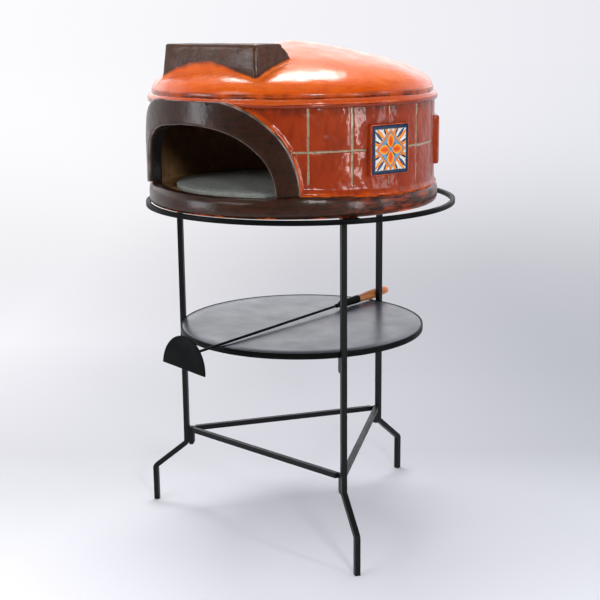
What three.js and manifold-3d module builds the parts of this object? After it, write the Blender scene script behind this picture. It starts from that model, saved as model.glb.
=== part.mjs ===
// A wood fired pizza oven of glazed clay on a three-legged black steel stand, with its rake.
//
// Frame: millimetres, +Z up, origin on the floor at the centre of the stand. The mouth of the
// oven faces -Y. An azimuth is measured in degrees from -Y towards +X. The stand and the rake are
// turned a little about +Z, because the loose oven sits slightly askew on its stand.
import * as THREE from 'three';
import { mergeVertices } from 'three/addons/utils/BufferGeometryUtils.js';
import Module from 'manifold-3d';

const wasm = await Module();
wasm.setup();

// ---------------------------------------------------------------------------------------------
// Driving dimensions
// ---------------------------------------------------------------------------------------------
const GAP = 0.3; // clearance between neighbouring pieces
const ROUND_STEPS = 72; // facets around the oven, the ring and the shelf

// Steel stand
const BAR = 12; // side of the square bar of the legs and the lower triangle
const RING_BAR = 10; // side of the square bar of the ring and the upper triangle
const RING_RADIUS = 350; // outer radius of the ring at the top
const RING_TOP = 764.7; // height of the frame that the oven rests on
const STAND_TURN = -1.5; // degrees
const LEG_AZIMUTHS = [60, 180, -60]; // before the stand is turned
const LEG_RADIUS = 289; // centre of an upright leg, from the stand's axis
const FOOT_RADIUS = 371.6; // centre of a foot
const LEG_BEND_TOP = 155; // height where the leg turns outwards
const LEG_BEND_BOTTOM = 87; // height where the foot turns upright
const BEND_RADIUS = 10; // centre line radius of both bends
const ARM_THICKNESS = 5; // plate between a leg's top and the ring
const ARM_INNER_RADIUS = 262;
const ARM_OUTER_RADIUS = 338.6;
const ARM_INNER_WIDTH = 22;
const ARM_OUTER_WIDTH = 36;
const TIE_TOP = 195; // top of the triangle of bars above the feet
const LUG_BOTTOM_CHAMFER = 6;
const TIE_LUG_BOTTOM = 149.5;
const TIE_SCREW_HEIGHT = 168;

// Shelf
const SHELF_RADIUS = 281.7;
const SHELF_TOP = 471;
const HOOP_HEIGHT = 13;
const HOOP_THICKNESS = 4;
const SHELF_PLATE_THICKNESS = 3;
const SHELF_PLATE_DROP = 0.5; // the plate's top lies this far below the hoop's edge
const SHELF_LUG_BOTTOM = 423;
const SHELF_SCREW_HEIGHT = 441;

// Countersunk screws
const SCREW_RADIUS = 2.5;
const SCREW_HEAD_RADIUS = 4.2;
const SCREW_HEAD_HEIGHT = 2.4;
const SCREW_LENGTH = 18;
const SOCKET_RADIUS = 1.7;
const SOCKET_DEPTH = 1.6;
const SCREW_STEPS = 12;

// Clay oven
const OVEN_Y = -24; // the oven's axis stands this far in front of the stand's axis
const BASE_BOTTOM = RING_TOP + GAP;
const FLOOR_TOP = 799.7;
const SILL_TOP = 806;
const BASE_TOP = 811.7;
const BASE_RADIUS = 323;
const BASE_EDGE = 7; // rounding of the plinth band
const WALL_RADIUS = 314;
const CAVITY_RADIUS = 297;
const WALL_TOP = 985;
const JOINT_WIDTH = 4.5; // pressed joint lines that divide the wall into tiles
const JOINT_DEPTH = 2;
const JOINT_HEIGHT = 899;
const JOINT_SPACING = 16.667; // degrees between upright joint lines
const JOINTS_EACH_SIDE = 8; // upright joint lines on either side of the one at the back
const SHOULDER_RADIUS = 311; // where the crown of the dome starts, above its bead
const SHOULDER_HEIGHT = 1012;
const APEX_HEIGHT = 1113.5;
const DOME_THICKNESS = 30;
const BEAD_RADIUS = 321; // rolled bead at the dome's rim
const BEAD_TOP = 1007;
const BEAD_EDGE = 5; // rounding of the bead

// Mouth: outlines on the drum, as a half angle in degrees and a height above the sill
const ARCH_FACE_RADIUS = 327;
const ARCH_EDGE = 3; // rounding of the band's edges
const ARCH_HALF_ANGLE = 43.8;
const ARCH_RISE = 205;
const ARCH_TOP = 999; // the arch is cut level under the bead
const OPENING_HALF_ANGLE = 34.8;
const OPENING_RISE = 143;
const ARCH_POWER = 2.2; // exponent of the arch's rounded outline
const ARCH_STEPS = 24;
const SILL_HALF_ANGLE = 35.5;

// Smoke hood on the dome above the mouth, y from the oven's axis
const HOOD_TOP = 1110;
const HOOD_FRONT_TOP = -254;
const HOOD_FRONT_SLOPE = 0.09; // how far the front face runs forwards per mm down
const HOOD_BACK_TOP = -188;
const HOOD_BACK_SHOULDER = -164;
const HOOD_SHOULDER_DROP = 12;
const HOOD_BACK_BOTTOM = -150;
const HOOD_BOTTOM = 1015;
const HOOD_X = -6; // the hood is set a little to one side
const HOOD_HALF_WIDTH = 131;
const HOOD_SIDE_SLOPE = 0.1;
const FLUE_HALF_WIDTH = 110;
const FLUE_FRONT = -232;
const FLUE_BACK = -196;

// Painted tiles on raised bosses
const TILE_AZIMUTHS = [79.2, 130, 180, -130, -79.2];
const TILE_SIDE = 98;
const TILE_CENTRE_HEIGHT = 898;
const TILE_FACE_RADIUS = 322.2;
const TILE_THICKNESS = 5;
const BOSS_SIDE = 106;
const BOSS_FACE_RADIUS = 321;
const BOSS_RECESS = 4.4;

// Round baking stone on the oven floor
const STONE_RADIUS = 225;
const STONE_THICKNESS = 10;
const STONE_Y = -75;
const STONE_CHAMFER = 1.5;

// Rake, lying front to back over the shelf
const RAKE_ROD_RADIUS = 3;
const RAKE_X = 13.2; // where the rod crosses the shelf's hoop
const RAKE_Y = -280.7;
const RAKE_HEADING = 93.2; // degrees from +X, towards +Y
const RAKE_RISE = 0.92; // degrees upwards to the handle
const RAKE_ROLL = 6.1; // degrees about the rod
const RAKE_BLADE_AT = -104.7; // along the rod from where it crosses the hoop
const RAKE_BLADE_THICKNESS = 3;
const RAKE_BLADE_HALF_WIDTH = 61;
const RAKE_BLADE_ABOVE = 44.5; // blade above the rod's centre
const RAKE_BLADE_BELOW = 28.5;
const RAKE_COLLAR_AT = 416;
const RAKE_COLLAR_LENGTH = 11;
const RAKE_COLLAR_RADIUS = 5;
const RAKE_FERRULE_AT = 431;
const RAKE_FERRULE_END = 505;
const RAKE_FERRULE_RADIUS = 10;
const RAKE_HANDLE_END = 630;
const TURNED_STEPS = 20;

const toRadians = THREE.MathUtils.degToRad;

// ---------------------------------------------------------------------------------------------
// Materials
// ---------------------------------------------------------------------------------------------
const material = (color, roughness, metalness = 0) =>
  new THREE.MeshStandardMaterial({ color, roughness, metalness });
const orangeGlaze = () => material(0xd9531c, 0.18);
const redClay = () => material(0xa8401f, 0.45);
const brownClay = () => material(0x4a342a, 0.5);
const paintedTile = () => material(0xe9e2d0, 0.12);
const greyStone = () => material(0x868b86, 0.85);
const blackSteel = () => material(0x1c1d1c, 0.45, 0.4);
const shelfSteel = () => material(0x33353a, 0.35, 0.5);
const turnedWood = () => material(0xb9733f, 0.5);

// ---------------------------------------------------------------------------------------------
// Solids
// ---------------------------------------------------------------------------------------------
/** A closed geometry as a manifold solid. */
function solid(geometry) {
  const plain = geometry.clone();
  plain.deleteAttribute('normal');
  plain.deleteAttribute('uv');
  const merged = mergeVertices(plain, 1e-4);
  const mesh = new wasm.Mesh({
    numProp: 3,
    vertProperties: new Float32Array(merged.attributes.position.array),
    triVerts: new Uint32Array(merged.index.array),
  });
  return new wasm.Manifold(mesh);
}

/** A manifold solid as a three.js geometry. */
function toGeometry(shape) {
  const mesh = shape.getMesh();
  const geometry = new THREE.BufferGeometry();
  geometry.setAttribute('position', new THREE.BufferAttribute(mesh.vertProperties, 3));
  geometry.setIndex(new THREE.BufferAttribute(mesh.triVerts, 1));
  geometry.computeVertexNormals();
  return geometry;
}

/** One named piece. */
function piece(name, geometry, look) {
  const mesh = new THREE.Mesh(geometry, look);
  mesh.name = name;
  return mesh;
}

/** A solid of revolution about +Z from [radius, height] points that run anticlockwise. */
function turned(points, steps = ROUND_STEPS) {
  const profile = points.map(([radius, height]) => new THREE.Vector2(radius, height));
  return new THREE.LatheGeometry(profile, steps).rotateX(Math.PI / 2);
}

/** A ring about +Z with a rectangular section. */
function ring(inner, outer, bottom, top) {
  return turned([[inner, bottom], [outer, bottom], [outer, top], [inner, top], [inner, bottom]]);
}

/** A disc about +Z. */
function disc(radius, bottom, top) {
  return turned([[0, bottom], [radius, bottom], [radius, top], [0, top]]);
}

/** A flat outline of [x, y] points raised from one height to another. */
function raised(outline, bottom, top) {
  const shape = new THREE.Shape(outline.map(([x, y]) => new THREE.Vector2(x, y)));
  const geometry = new THREE.ExtrudeGeometry(shape, { depth: top - bottom, bevelEnabled: false });
  return geometry.translate(0, 0, bottom);
}

/** An outline of [radius, height] points given a width across, standing at azimuth 0. */
function upright(outline, width) {
  const geometry = raised(outline, -width / 2, width / 2);
  const basis = new THREE.Matrix4().makeBasis(
    new THREE.Vector3(0, -1, 0),
    new THREE.Vector3(0, 0, 1),
    new THREE.Vector3(-1, 0, 0),
  );
  return geometry.applyMatrix4(basis);
}

/** A group turned from azimuth 0 to the given azimuth. */
function turnedTo(azimuth, ...meshes) {
  const group = new THREE.Group();
  group.rotation.z = toRadians(azimuth);
  group.add(...meshes);
  return group;
}

/** The point at a radius and azimuth in the plane. */
function polar(radius, azimuth) {
  const angle = toRadians(azimuth);
  return new THREE.Vector2(radius * Math.sin(angle), -radius * Math.cos(angle));
}

/** The part of a convex outline where normal . point <= limit. */
function clipped(outline, normal, limit) {
  const kept = [];
  outline.forEach((point, index) => {
    const next = outline[(index + 1) % outline.length];
    const here = normal.dot(point) - limit;
    const there = normal.dot(next) - limit;
    if (here <= 0) kept.push(point);
    if (here * there < 0) kept.push(point.clone().lerp(next, here / (here - there)));
  });
  return kept;
}

// ---------------------------------------------------------------------------------------------
// Stand
// ---------------------------------------------------------------------------------------------
/** Points of a leg's bent edge, at a distance outside (+) or inside (-) of its centre line. */
function legEdge(offset, top) {
  const slope = Math.atan2(FOOT_RADIUS - LEG_RADIUS, LEG_BEND_TOP - LEG_BEND_BOTTOM);
  const set = BEND_RADIUS * Math.tan(slope / 2);
  const edge = [[LEG_RADIUS + offset, top]];
  const bendSteps = 4;
  for (let step = 0; step <= bendSteps; step += 1) {
    const turn = (slope * step) / bendSteps;
    const radius = BEND_RADIUS - offset;
    edge.push([
      LEG_RADIUS + BEND_RADIUS - radius * Math.cos(turn),
      LEG_BEND_TOP + set - radius * Math.sin(turn),
    ]);
  }
  for (let step = bendSteps; step >= 0; step -= 1) {
    const turn = (slope * step) / bendSteps;
    const radius = BEND_RADIUS + offset;
    edge.push([
      FOOT_RADIUS - BEND_RADIUS + radius * Math.cos(turn),
      LEG_BEND_BOTTOM - set + radius * Math.sin(turn),
    ]);
  }
  edge.push([FOOT_RADIUS + offset, 0]);
  return edge;
}

/** A countersunk screw with its head at the origin and its shank running along -Z. */
function screwGeometry() {
  const tip = 1;
  const body = solid(turned([
    [0, -SCREW_LENGTH],
    [SCREW_RADIUS - tip, -SCREW_LENGTH],
    [SCREW_RADIUS, -SCREW_LENGTH + tip],
    [SCREW_RADIUS, -SCREW_HEAD_HEIGHT],
    [SCREW_HEAD_RADIUS, 0],
    [0, 0],
  ], SCREW_STEPS));
  const socket = new THREE.CylinderGeometry(SOCKET_RADIUS, SOCKET_RADIUS, 2 * SOCKET_DEPTH, 6);
  return toGeometry(body.subtract(solid(socket.rotateX(Math.PI / 2))));
}

/** The hole for a screw: clearance all round, open above the head. */
function screwHole() {
  const above = 3;
  const head = SCREW_HEAD_RADIUS + GAP;
  const shank = SCREW_RADIUS + GAP;
  return turned([
    [0, -SCREW_LENGTH - GAP],
    [shank, -SCREW_LENGTH - GAP],
    [shank, -SCREW_HEAD_HEIGHT],
    [head, 0],
    [head, above],
    [0, above],
  ], SCREW_STEPS);
}

/** Turns a screw that points down -Z into one driven inwards from the leg's outer face. */
function driven(geometry, height) {
  return geometry.rotateX(Math.PI / 2).translate(0, -(LEG_RADIUS + BAR / 2), height);
}

/** The screws that hold a leg go down through the arm and inwards into both lugs. */
const topScrewPlace = (geometry) => geometry.translate(0, -LEG_RADIUS, RING_TOP);
const shelfScrewPlace = (geometry) => driven(geometry, SHELF_SCREW_HEIGHT);
const tieScrewPlace = (geometry) => driven(geometry, TIE_SCREW_HEIGHT);

function legGeometry() {
  const top = RING_TOP - ARM_THICKNESS - GAP;
  const outline = [...legEdge(-BAR / 2, top), ...legEdge(BAR / 2, top).reverse()];
  let shape = solid(upright(outline, BAR));
  for (const place of [topScrewPlace, shelfScrewPlace, tieScrewPlace]) {
    shape = shape.subtract(solid(place(screwHole())));
  }
  return toGeometry(shape);
}

/** A short square stub against the inner face of a leg, with its lower inner edge cut off. */
function lugGeometry(bottom, top, screwPlace) {
  const outer = LEG_RADIUS - BAR / 2 - GAP;
  const inner = outer - BAR;
  const outline = [
    [outer, bottom],
    [outer, top],
    [inner, top],
    [inner, bottom + LUG_BOTTOM_CHAMFER],
    [inner + LUG_BOTTOM_CHAMFER / 2, bottom],
  ];
  return toGeometry(solid(upright(outline, BAR)).subtract(solid(screwPlace(screwHole()))));
}

/** The plate between a leg's top and the ring. */
function armGeometry() {
  const outline = [
    [-ARM_OUTER_WIDTH / 2, -ARM_OUTER_RADIUS],
    [ARM_OUTER_WIDTH / 2, -ARM_OUTER_RADIUS],
    [ARM_INNER_WIDTH / 2, -ARM_INNER_RADIUS],
    [-ARM_INNER_WIDTH / 2, -ARM_INNER_RADIUS],
  ];
  const plate = solid(raised(outline, RING_TOP - ARM_THICKNESS, RING_TOP));
  return toGeometry(plate.subtract(solid(topScrewPlace(screwHole()))));
}

/** A bar between two corners of a triangle, trimmed clear of what holds it at each end. */
function triangleBarGeometry(fromAzimuth, toAzimuth, cornerRadius, top, bar) {
  const from = polar(cornerRadius + bar, fromAzimuth);
  const to = polar(cornerRadius + bar, toAzimuth);
  const side = to.clone().sub(from).normalize().rotateAround(new THREE.Vector2(), Math.PI / 2);
  side.multiplyScalar(bar / 2);
  let outline = [
    from.clone().sub(side),
    to.clone().sub(side),
    to.clone().add(side),
    from.clone().add(side),
  ];
  const middle = from.clone().add(to);
  for (const azimuth of [fromAzimuth, toAzimuth]) {
    outline = clipped(outline, polar(1, azimuth), cornerRadius - GAP);
    const across = polar(1, azimuth + 90);
    if (across.dot(middle) > 0) across.negate();
    outline = clipped(outline, across, -GAP / 2);
  }
  return raised(outline.map((point) => [point.x, point.y]), top - bar, top);
}

function buildStand() {
  const stand = new THREE.Group();
  const steel = (name, geometry) => piece(name, geometry, blackSteel());
  const lugInner = LEG_RADIUS - BAR / 2 - GAP - BAR;
  const hoopBottom = SHELF_TOP - HOOP_HEIGHT;
  const plateTop = SHELF_TOP - SHELF_PLATE_DROP;
  const plateRadius = SHELF_RADIUS - HOOP_THICKNESS - GAP;
  stand.add(
    steel('top_ring', ring(RING_RADIUS - RING_BAR, RING_RADIUS, RING_TOP - RING_BAR, RING_TOP)),
    steel('shelf_hoop', ring(SHELF_RADIUS - HOOP_THICKNESS, SHELF_RADIUS, hoopBottom, SHELF_TOP)),
    piece('shelf_plate', disc(plateRadius, plateTop - SHELF_PLATE_THICKNESS, plateTop), shelfSteel()),
  );
  LEG_AZIMUTHS.forEach((azimuth, index) => {
    const number = index + 1;
    const next = LEG_AZIMUTHS[number % LEG_AZIMUTHS.length];
    const shelfLug = lugGeometry(SHELF_LUG_BOTTOM, hoopBottom - GAP, shelfScrewPlace);
    const tieLug = lugGeometry(TIE_LUG_BOTTOM, TIE_TOP, tieScrewPlace);
    stand.add(
      turnedTo(
        azimuth,
        steel(`leg_${number}`, legGeometry()),
        steel(`arm_${number}`, armGeometry()),
        steel(`shelf_lug_${number}`, shelfLug),
        steel(`tie_lug_${number}`, tieLug),
        steel(`top_screw_${number}`, topScrewPlace(screwGeometry())),
        steel(`shelf_screw_${number}`, shelfScrewPlace(screwGeometry())),
        steel(`tie_screw_${number}`, tieScrewPlace(screwGeometry())),
      ),
      steel(
        `top_bar_${number}`,
        triangleBarGeometry(azimuth, next, ARM_INNER_RADIUS, RING_TOP, RING_BAR),
      ),
      steel(`tie_bar_${number}`, triangleBarGeometry(azimuth, next, lugInner, TIE_TOP, BAR)),
    );
  });
  return stand;
}

// ---------------------------------------------------------------------------------------------
// Oven
// ---------------------------------------------------------------------------------------------
/** The dome's outer profile from its rim up to the apex, moved outwards by a clearance. */
function domeOutside(clearance = 0) {
  const rise = APEX_HEIGHT + clearance - SHOULDER_HEIGHT;
  const coneShare = 0.4; // the crown is part cone, part rounded shoulder
  const shoulderPower = 2.2;
  const steps = 12;
  const profile = [];
  for (let step = 0; step <= steps; step += 1) {
    const across = Math.cos((step / steps) * (Math.PI / 2));
    const cone = 1 - across;
    const bulge = (1 - across ** shoulderPower) ** (1 / shoulderPower);
    const height = SHOULDER_HEIGHT + rise * (coneShare * cone + (1 - coneShare) * bulge);
    profile.push([across * (SHOULDER_RADIUS + clearance), height]);
  }
  profile[steps][0] = 0;
  return profile;
}

/** A closed outline on the drum between the sill and a rounded arch, as [angle, height]. */
function archOutline(halfAngle, rise, grow = 0) {
  const growAngle = THREE.MathUtils.radToDeg(grow / WALL_RADIUS);
  const outline = [];
  for (let step = 0; step <= ARCH_STEPS; step += 1) {
    const turn = (step / ARCH_STEPS) * Math.PI;
    const across = Math.abs(Math.cos(turn)) ** (2 / ARCH_POWER) * Math.sign(Math.cos(turn));
    const up = Math.max(Math.sin(turn), 0) ** (2 / ARCH_POWER);
    outline.push([across * (halfAngle + growAngle), SILL_TOP + up * (rise + grow)]);
  }
  const below = BASE_BOTTOM;
  outline.push([-(halfAngle + growAngle), below], [halfAngle + growAngle, below]);
  return outline;
}

/** A solid that widens with the radius, so that its sides all point at the oven's axis. */
function radialPrism(outline) {
  const inside = 150;
  const outside = 520;
  const geometry = raised(outline, inside, outside);
  const position = geometry.attributes.position;
  for (let index = 0; index < position.count; index += 1) {
    const angle = position.getX(index);
    const height = position.getY(index);
    const place = polar(position.getZ(index), angle);
    position.setXYZ(index, place.x, place.y, height);
  }
  return geometry;
}

function baseGeometry() {
  const body = solid(turned([
    [0, BASE_BOTTOM],
    [BASE_RADIUS - BASE_EDGE, BASE_BOTTOM],
    [BASE_RADIUS - BASE_EDGE / 4, BASE_BOTTOM + BASE_EDGE / 2],
    [BASE_RADIUS, BASE_BOTTOM + 2 * BASE_EDGE],
    [BASE_RADIUS, BASE_TOP - BASE_EDGE],
    [BASE_RADIUS - BASE_EDGE / 2, BASE_TOP],
    [CAVITY_RADIUS, BASE_TOP],
    [CAVITY_RADIUS, FLOOR_TOP],
    [0, FLOOR_TOP],
  ]));
  const sill = [
    [-SILL_HALF_ANGLE, SILL_TOP],
    [SILL_HALF_ANGLE, SILL_TOP],
    [SILL_HALF_ANGLE, BASE_TOP + GAP],
    [-SILL_HALF_ANGLE, BASE_TOP + GAP],
  ];
  return toGeometry(body.subtract(solid(radialPrism(sill))));
}

/** The drum wall with its joint lines, cut away where the mouth's arch stands. */
function wallGeometry() {
  const bottom = BASE_TOP + GAP;
  const past = 5;
  let shape = solid(ring(CAVITY_RADIUS, WALL_RADIUS, bottom, WALL_TOP));
  const level = ring(
    WALL_RADIUS - JOINT_DEPTH,
    WALL_RADIUS + past,
    JOINT_HEIGHT - JOINT_WIDTH / 2,
    JOINT_HEIGHT + JOINT_WIDTH / 2,
  );
  shape = shape.subtract(solid(level));
  for (let line = -JOINTS_EACH_SIDE; line <= JOINTS_EACH_SIDE; line += 1) {
    const groove = new THREE.BoxGeometry(JOINT_WIDTH, JOINT_DEPTH + past, WALL_TOP - bottom + 2 * past);
    groove.translate(0, -(WALL_RADIUS + (past - JOINT_DEPTH) / 2), (WALL_TOP + bottom) / 2);
    groove.rotateZ(toRadians(180 + line * JOINT_SPACING));
    shape = shape.subtract(solid(groove));
  }
  return toGeometry(shape.subtract(solid(radialPrism(archOutline(ARCH_HALF_ANGLE, ARCH_RISE, GAP)))));
}

/** The arch around the mouth: a band proud of the wall with jambs that run through it. */
function archGeometry() {
  const bottom = BASE_TOP + GAP;
  const behind = WALL_RADIUS + GAP;
  const band = solid(turned([
    [CAVITY_RADIUS, bottom],
    [ARCH_FACE_RADIUS - ARCH_EDGE, bottom],
    [ARCH_FACE_RADIUS, bottom + ARCH_EDGE],
    [ARCH_FACE_RADIUS, ARCH_TOP - ARCH_EDGE],
    [ARCH_FACE_RADIUS - ARCH_EDGE, ARCH_TOP],
    [behind, ARCH_TOP],
    [behind, WALL_TOP],
    [CAVITY_RADIUS, WALL_TOP],
    [CAVITY_RADIUS, bottom],
  ]));
  const outer = solid(radialPrism(archOutline(ARCH_HALF_ANGLE, ARCH_RISE)));
  const opening = solid(radialPrism(archOutline(OPENING_HALF_ANGLE, OPENING_RISE)));
  return toGeometry(band.intersect(outer).subtract(opening));
}

/** The dome's bead, groove and shell, open for the flue and cut back over the arch. */
function domeGeometry() {
  const bottom = WALL_TOP + GAP;
  const bead = [
    [CAVITY_RADIUS, bottom],
    [BEAD_RADIUS - BEAD_EDGE, bottom],
    [BEAD_RADIUS - BEAD_EDGE / 4, bottom + BEAD_EDGE],
    [BEAD_RADIUS, bottom + 2 * BEAD_EDGE],
    [BEAD_RADIUS - BEAD_EDGE / 4, BEAD_TOP - BEAD_EDGE],
    [BEAD_RADIUS - BEAD_EDGE, BEAD_TOP],
  ];
  const vaultRise = APEX_HEIGHT - DOME_THICKNESS - bottom;
  const vaultSteps = 6;
  const vault = [];
  for (let step = 0; step <= vaultSteps; step += 1) {
    const turn = (step / vaultSteps) * (Math.PI / 2);
    vault.push([CAVITY_RADIUS * Math.sin(turn), bottom + vaultRise * Math.cos(turn)]);
  }
  vault[0][0] = 0;
  let shape = solid(turned([...bead, ...domeOutside(), ...vault]));
  shape = shape.subtract(solid(flueGeometry()));
  const margin = 10; // the cut reaches this far past the arch
  const clearance = solid(
    ring(WALL_RADIUS, ARCH_FACE_RADIUS + margin, WALL_TOP - margin, ARCH_TOP + GAP),
  );
  const overArch = clearance.intersect(solid(radialPrism(archOutline(ARCH_HALF_ANGLE, ARCH_RISE, GAP))));
  return toGeometry(shape.subtract(overArch));
}

/** The upright passage for smoke, from the cavity to above the hood. */
function flueGeometry() {
  const above = 20;
  const outline = [
    [HOOD_X - FLUE_HALF_WIDTH, FLUE_FRONT],
    [HOOD_X + FLUE_HALF_WIDTH, FLUE_FRONT],
    [HOOD_X + FLUE_HALF_WIDTH, FLUE_BACK],
    [HOOD_X - FLUE_HALF_WIDTH, FLUE_BACK],
  ];
  return raised(outline, WALL_TOP, HOOD_TOP + above);
}

/** The hood is a box without top or bottom whose lower edge follows the dome. */
function hoodGeometry() {
  const drop = HOOD_TOP - HOOD_BOTTOM;
  const outline = [
    [-HOOD_FRONT_TOP, HOOD_TOP],
    [-HOOD_BACK_TOP, HOOD_TOP],
    [-HOOD_BACK_SHOULDER, HOOD_TOP - HOOD_SHOULDER_DROP],
    [-HOOD_BACK_BOTTOM, HOOD_BOTTOM],
    [-HOOD_FRONT_TOP + drop * HOOD_FRONT_SLOPE, HOOD_BOTTOM],
  ];
  const geometry = upright(outline, 2 * HOOD_HALF_WIDTH);
  const position = geometry.attributes.position;
  for (let index = 0; index < position.count; index += 1) {
    const wider = (HOOD_TOP - position.getZ(index)) * HOOD_SIDE_SLOPE;
    const x = position.getX(index);
    position.setX(index, HOOD_X + x + Math.sign(x) * wider);
  }
  const dome = solid(turned([[0, WALL_TOP], [BEAD_RADIUS, WALL_TOP], ...domeOutside(GAP)]));
  return toGeometry(solid(geometry).subtract(solid(flueGeometry())).subtract(dome));
}

/** A square slab facing outwards at an azimuth, its front at a radius from the oven's axis. */
function slab(side, thickness, faceRadius, azimuth) {
  const geometry = new THREE.BoxGeometry(side, thickness, side);
  geometry.translate(0, thickness / 2 - faceRadius, TILE_CENTRE_HEIGHT);
  return geometry.rotateZ(toRadians(azimuth));
}

/** A raised clay boss: flat in front with a recess for its tile, hollowed behind to fit the wall. */
function bossGeometry(azimuth) {
  const intoWall = 40;
  const recessSide = TILE_SIDE + 2 * GAP;
  const block = solid(slab(BOSS_SIDE, intoWall, BOSS_FACE_RADIUS, azimuth));
  const recess = solid(slab(recessSide, 2 * BOSS_RECESS, BOSS_FACE_RADIUS + BOSS_RECESS, azimuth));
  const drum = solid(disc(WALL_RADIUS + GAP, BASE_TOP, WALL_TOP));
  return toGeometry(block.subtract(recess).subtract(drum));
}

function buildTiles() {
  const group = new THREE.Group();
  TILE_AZIMUTHS.forEach((azimuth, index) => {
    const tile = slab(TILE_SIDE, TILE_THICKNESS, TILE_FACE_RADIUS, azimuth);
    group.add(
      piece(`tile_boss_${index + 1}`, bossGeometry(azimuth), redClay()),
      piece(`painted_tile_${index + 1}`, tile, paintedTile()),
    );
  });
  return group;
}

function stoneGeometry() {
  const bottom = FLOOR_TOP + GAP;
  const top = bottom + STONE_THICKNESS;
  return turned([
    [0, bottom],
    [STONE_RADIUS - STONE_CHAMFER, bottom],
    [STONE_RADIUS, bottom + STONE_CHAMFER],
    [STONE_RADIUS, top - STONE_CHAMFER],
    [STONE_RADIUS - STONE_CHAMFER, top],
    [0, top],
  ], ROUND_STEPS / 2).translate(0, STONE_Y - OVEN_Y, 0);
}

function buildOven() {
  const oven = new THREE.Group();
  oven.position.y = OVEN_Y;
  oven.add(
    piece('clay_base', baseGeometry(), brownClay()),
    piece('clay_wall', wallGeometry(), redClay()),
    piece('clay_dome', domeGeometry(), orangeGlaze()),
    piece('mouth_arch', archGeometry(), brownClay()),
    piece('smoke_hood', hoodGeometry(), brownClay()),
    piece('baking_stone', stoneGeometry(), greyStone()),
    buildTiles(),
  );
  return oven;
}

// ---------------------------------------------------------------------------------------------
// Rake
// ---------------------------------------------------------------------------------------------
/** The blade is half an oval standing on its straight edge, in the plane across the rod. */
function bladeGeometry() {
  const steps = 24;
  const height = RAKE_BLADE_ABOVE + RAKE_BLADE_BELOW;
  const outline = [];
  for (let step = 0; step <= steps; step += 1) {
    const turn = (step / steps) * Math.PI;
    outline.push([RAKE_BLADE_HALF_WIDTH * Math.cos(turn), height * Math.sin(turn) - RAKE_BLADE_BELOW]);
  }
  return raised(outline, RAKE_BLADE_AT - RAKE_BLADE_THICKNESS, RAKE_BLADE_AT);
}

function rodGeometry() {
  const start = RAKE_BLADE_AT + GAP;
  const collarEdge = 2;
  const collarEnd = RAKE_COLLAR_AT + RAKE_COLLAR_LENGTH;
  return turned([
    [0, start],
    [RAKE_ROD_RADIUS, start],
    [RAKE_ROD_RADIUS, RAKE_COLLAR_AT],
    [RAKE_COLLAR_RADIUS, RAKE_COLLAR_AT + collarEdge],
    [RAKE_COLLAR_RADIUS, collarEnd - collarEdge],
    [RAKE_ROD_RADIUS, collarEnd],
    [RAKE_ROD_RADIUS, RAKE_FERRULE_AT - GAP],
    [0, RAKE_FERRULE_AT - GAP],
  ], TURNED_STEPS);
}

function ferruleGeometry() {
  const lip = 4;
  return turned([
    [0, RAKE_FERRULE_AT],
    [0.6 * RAKE_FERRULE_RADIUS, RAKE_FERRULE_AT],
    [0.86 * RAKE_FERRULE_RADIUS, RAKE_FERRULE_AT + lip],
    [RAKE_FERRULE_RADIUS, RAKE_FERRULE_END - lip],
    [RAKE_FERRULE_RADIUS, RAKE_FERRULE_END - GAP],
    [0, RAKE_FERRULE_END - GAP],
  ], TURNED_STEPS);
}

/** The wooden handle swells to its middle and ends in a rounded butt. */
function handleGeometry() {
  const neck = 9.2;
  const swell = 12;
  const length = RAKE_HANDLE_END - RAKE_FERRULE_END;
  return turned([
    [0, RAKE_FERRULE_END],
    [1.04 * neck, RAKE_FERRULE_END],
    [neck, RAKE_FERRULE_END + 0.1 * length],
    [(neck + swell) / 2, RAKE_FERRULE_END + 0.28 * length],
    [swell, RAKE_FERRULE_END + 0.46 * length],
    [0.95 * swell, RAKE_FERRULE_END + 0.67 * length],
    [1.09 * neck, RAKE_FERRULE_END + 0.856 * length],
    [1.02 * neck, RAKE_FERRULE_END + 0.936 * length],
    [0.7 * neck, RAKE_FERRULE_END + 0.984 * length],
    [0, RAKE_HANDLE_END],
  ], TURNED_STEPS);
}

function buildRake() {
  const rake = new THREE.Group();
  const heading = toRadians(RAKE_HEADING);
  const rise = toRadians(RAKE_RISE);
  const along = new THREE.Vector3(
    Math.cos(heading) * Math.cos(rise),
    Math.sin(heading) * Math.cos(rise),
    Math.sin(rise),
  );
  const across = new THREE.Vector3(0, 0, 1).cross(along).normalize();
  across.applyAxisAngle(along, toRadians(RAKE_ROLL));
  const upwards = new THREE.Vector3().crossVectors(along, across);
  const rest = new THREE.Vector3(RAKE_X, RAKE_Y, SHELF_TOP + RAKE_ROD_RADIUS + GAP);
  rake.applyMatrix4(new THREE.Matrix4().makeBasis(across, upwards, along).setPosition(rest));
  rake.add(
    piece('rake_blade', bladeGeometry(), blackSteel()),
    piece('rake_rod', rodGeometry(), blackSteel()),
    piece('rake_ferrule', ferruleGeometry(), blackSteel()),
    piece('rake_handle', handleGeometry(), turnedWood()),
  );
  return rake;
}

const turnedStand = new THREE.Group();
turnedStand.rotation.z = toRadians(STAND_TURN);
turnedStand.add(buildStand(), buildRake());

const pizzaOven = new THREE.Group();
pizzaOven.add(turnedStand, buildOven());

export default pizzaOven;
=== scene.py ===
"""A wood fired pizza oven of glazed clay on its steel stand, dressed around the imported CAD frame.

Metres, +Z up, the mouth faces -Y. An azimuth is measured in degrees from -Y towards +X.
"""
from math import atan2, copysign, cos, degrees, exp, hypot, pi, radians, sin, sqrt

import bmesh
import bpy
import numpy as np
from mathutils import Matrix, Vector, noise


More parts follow.
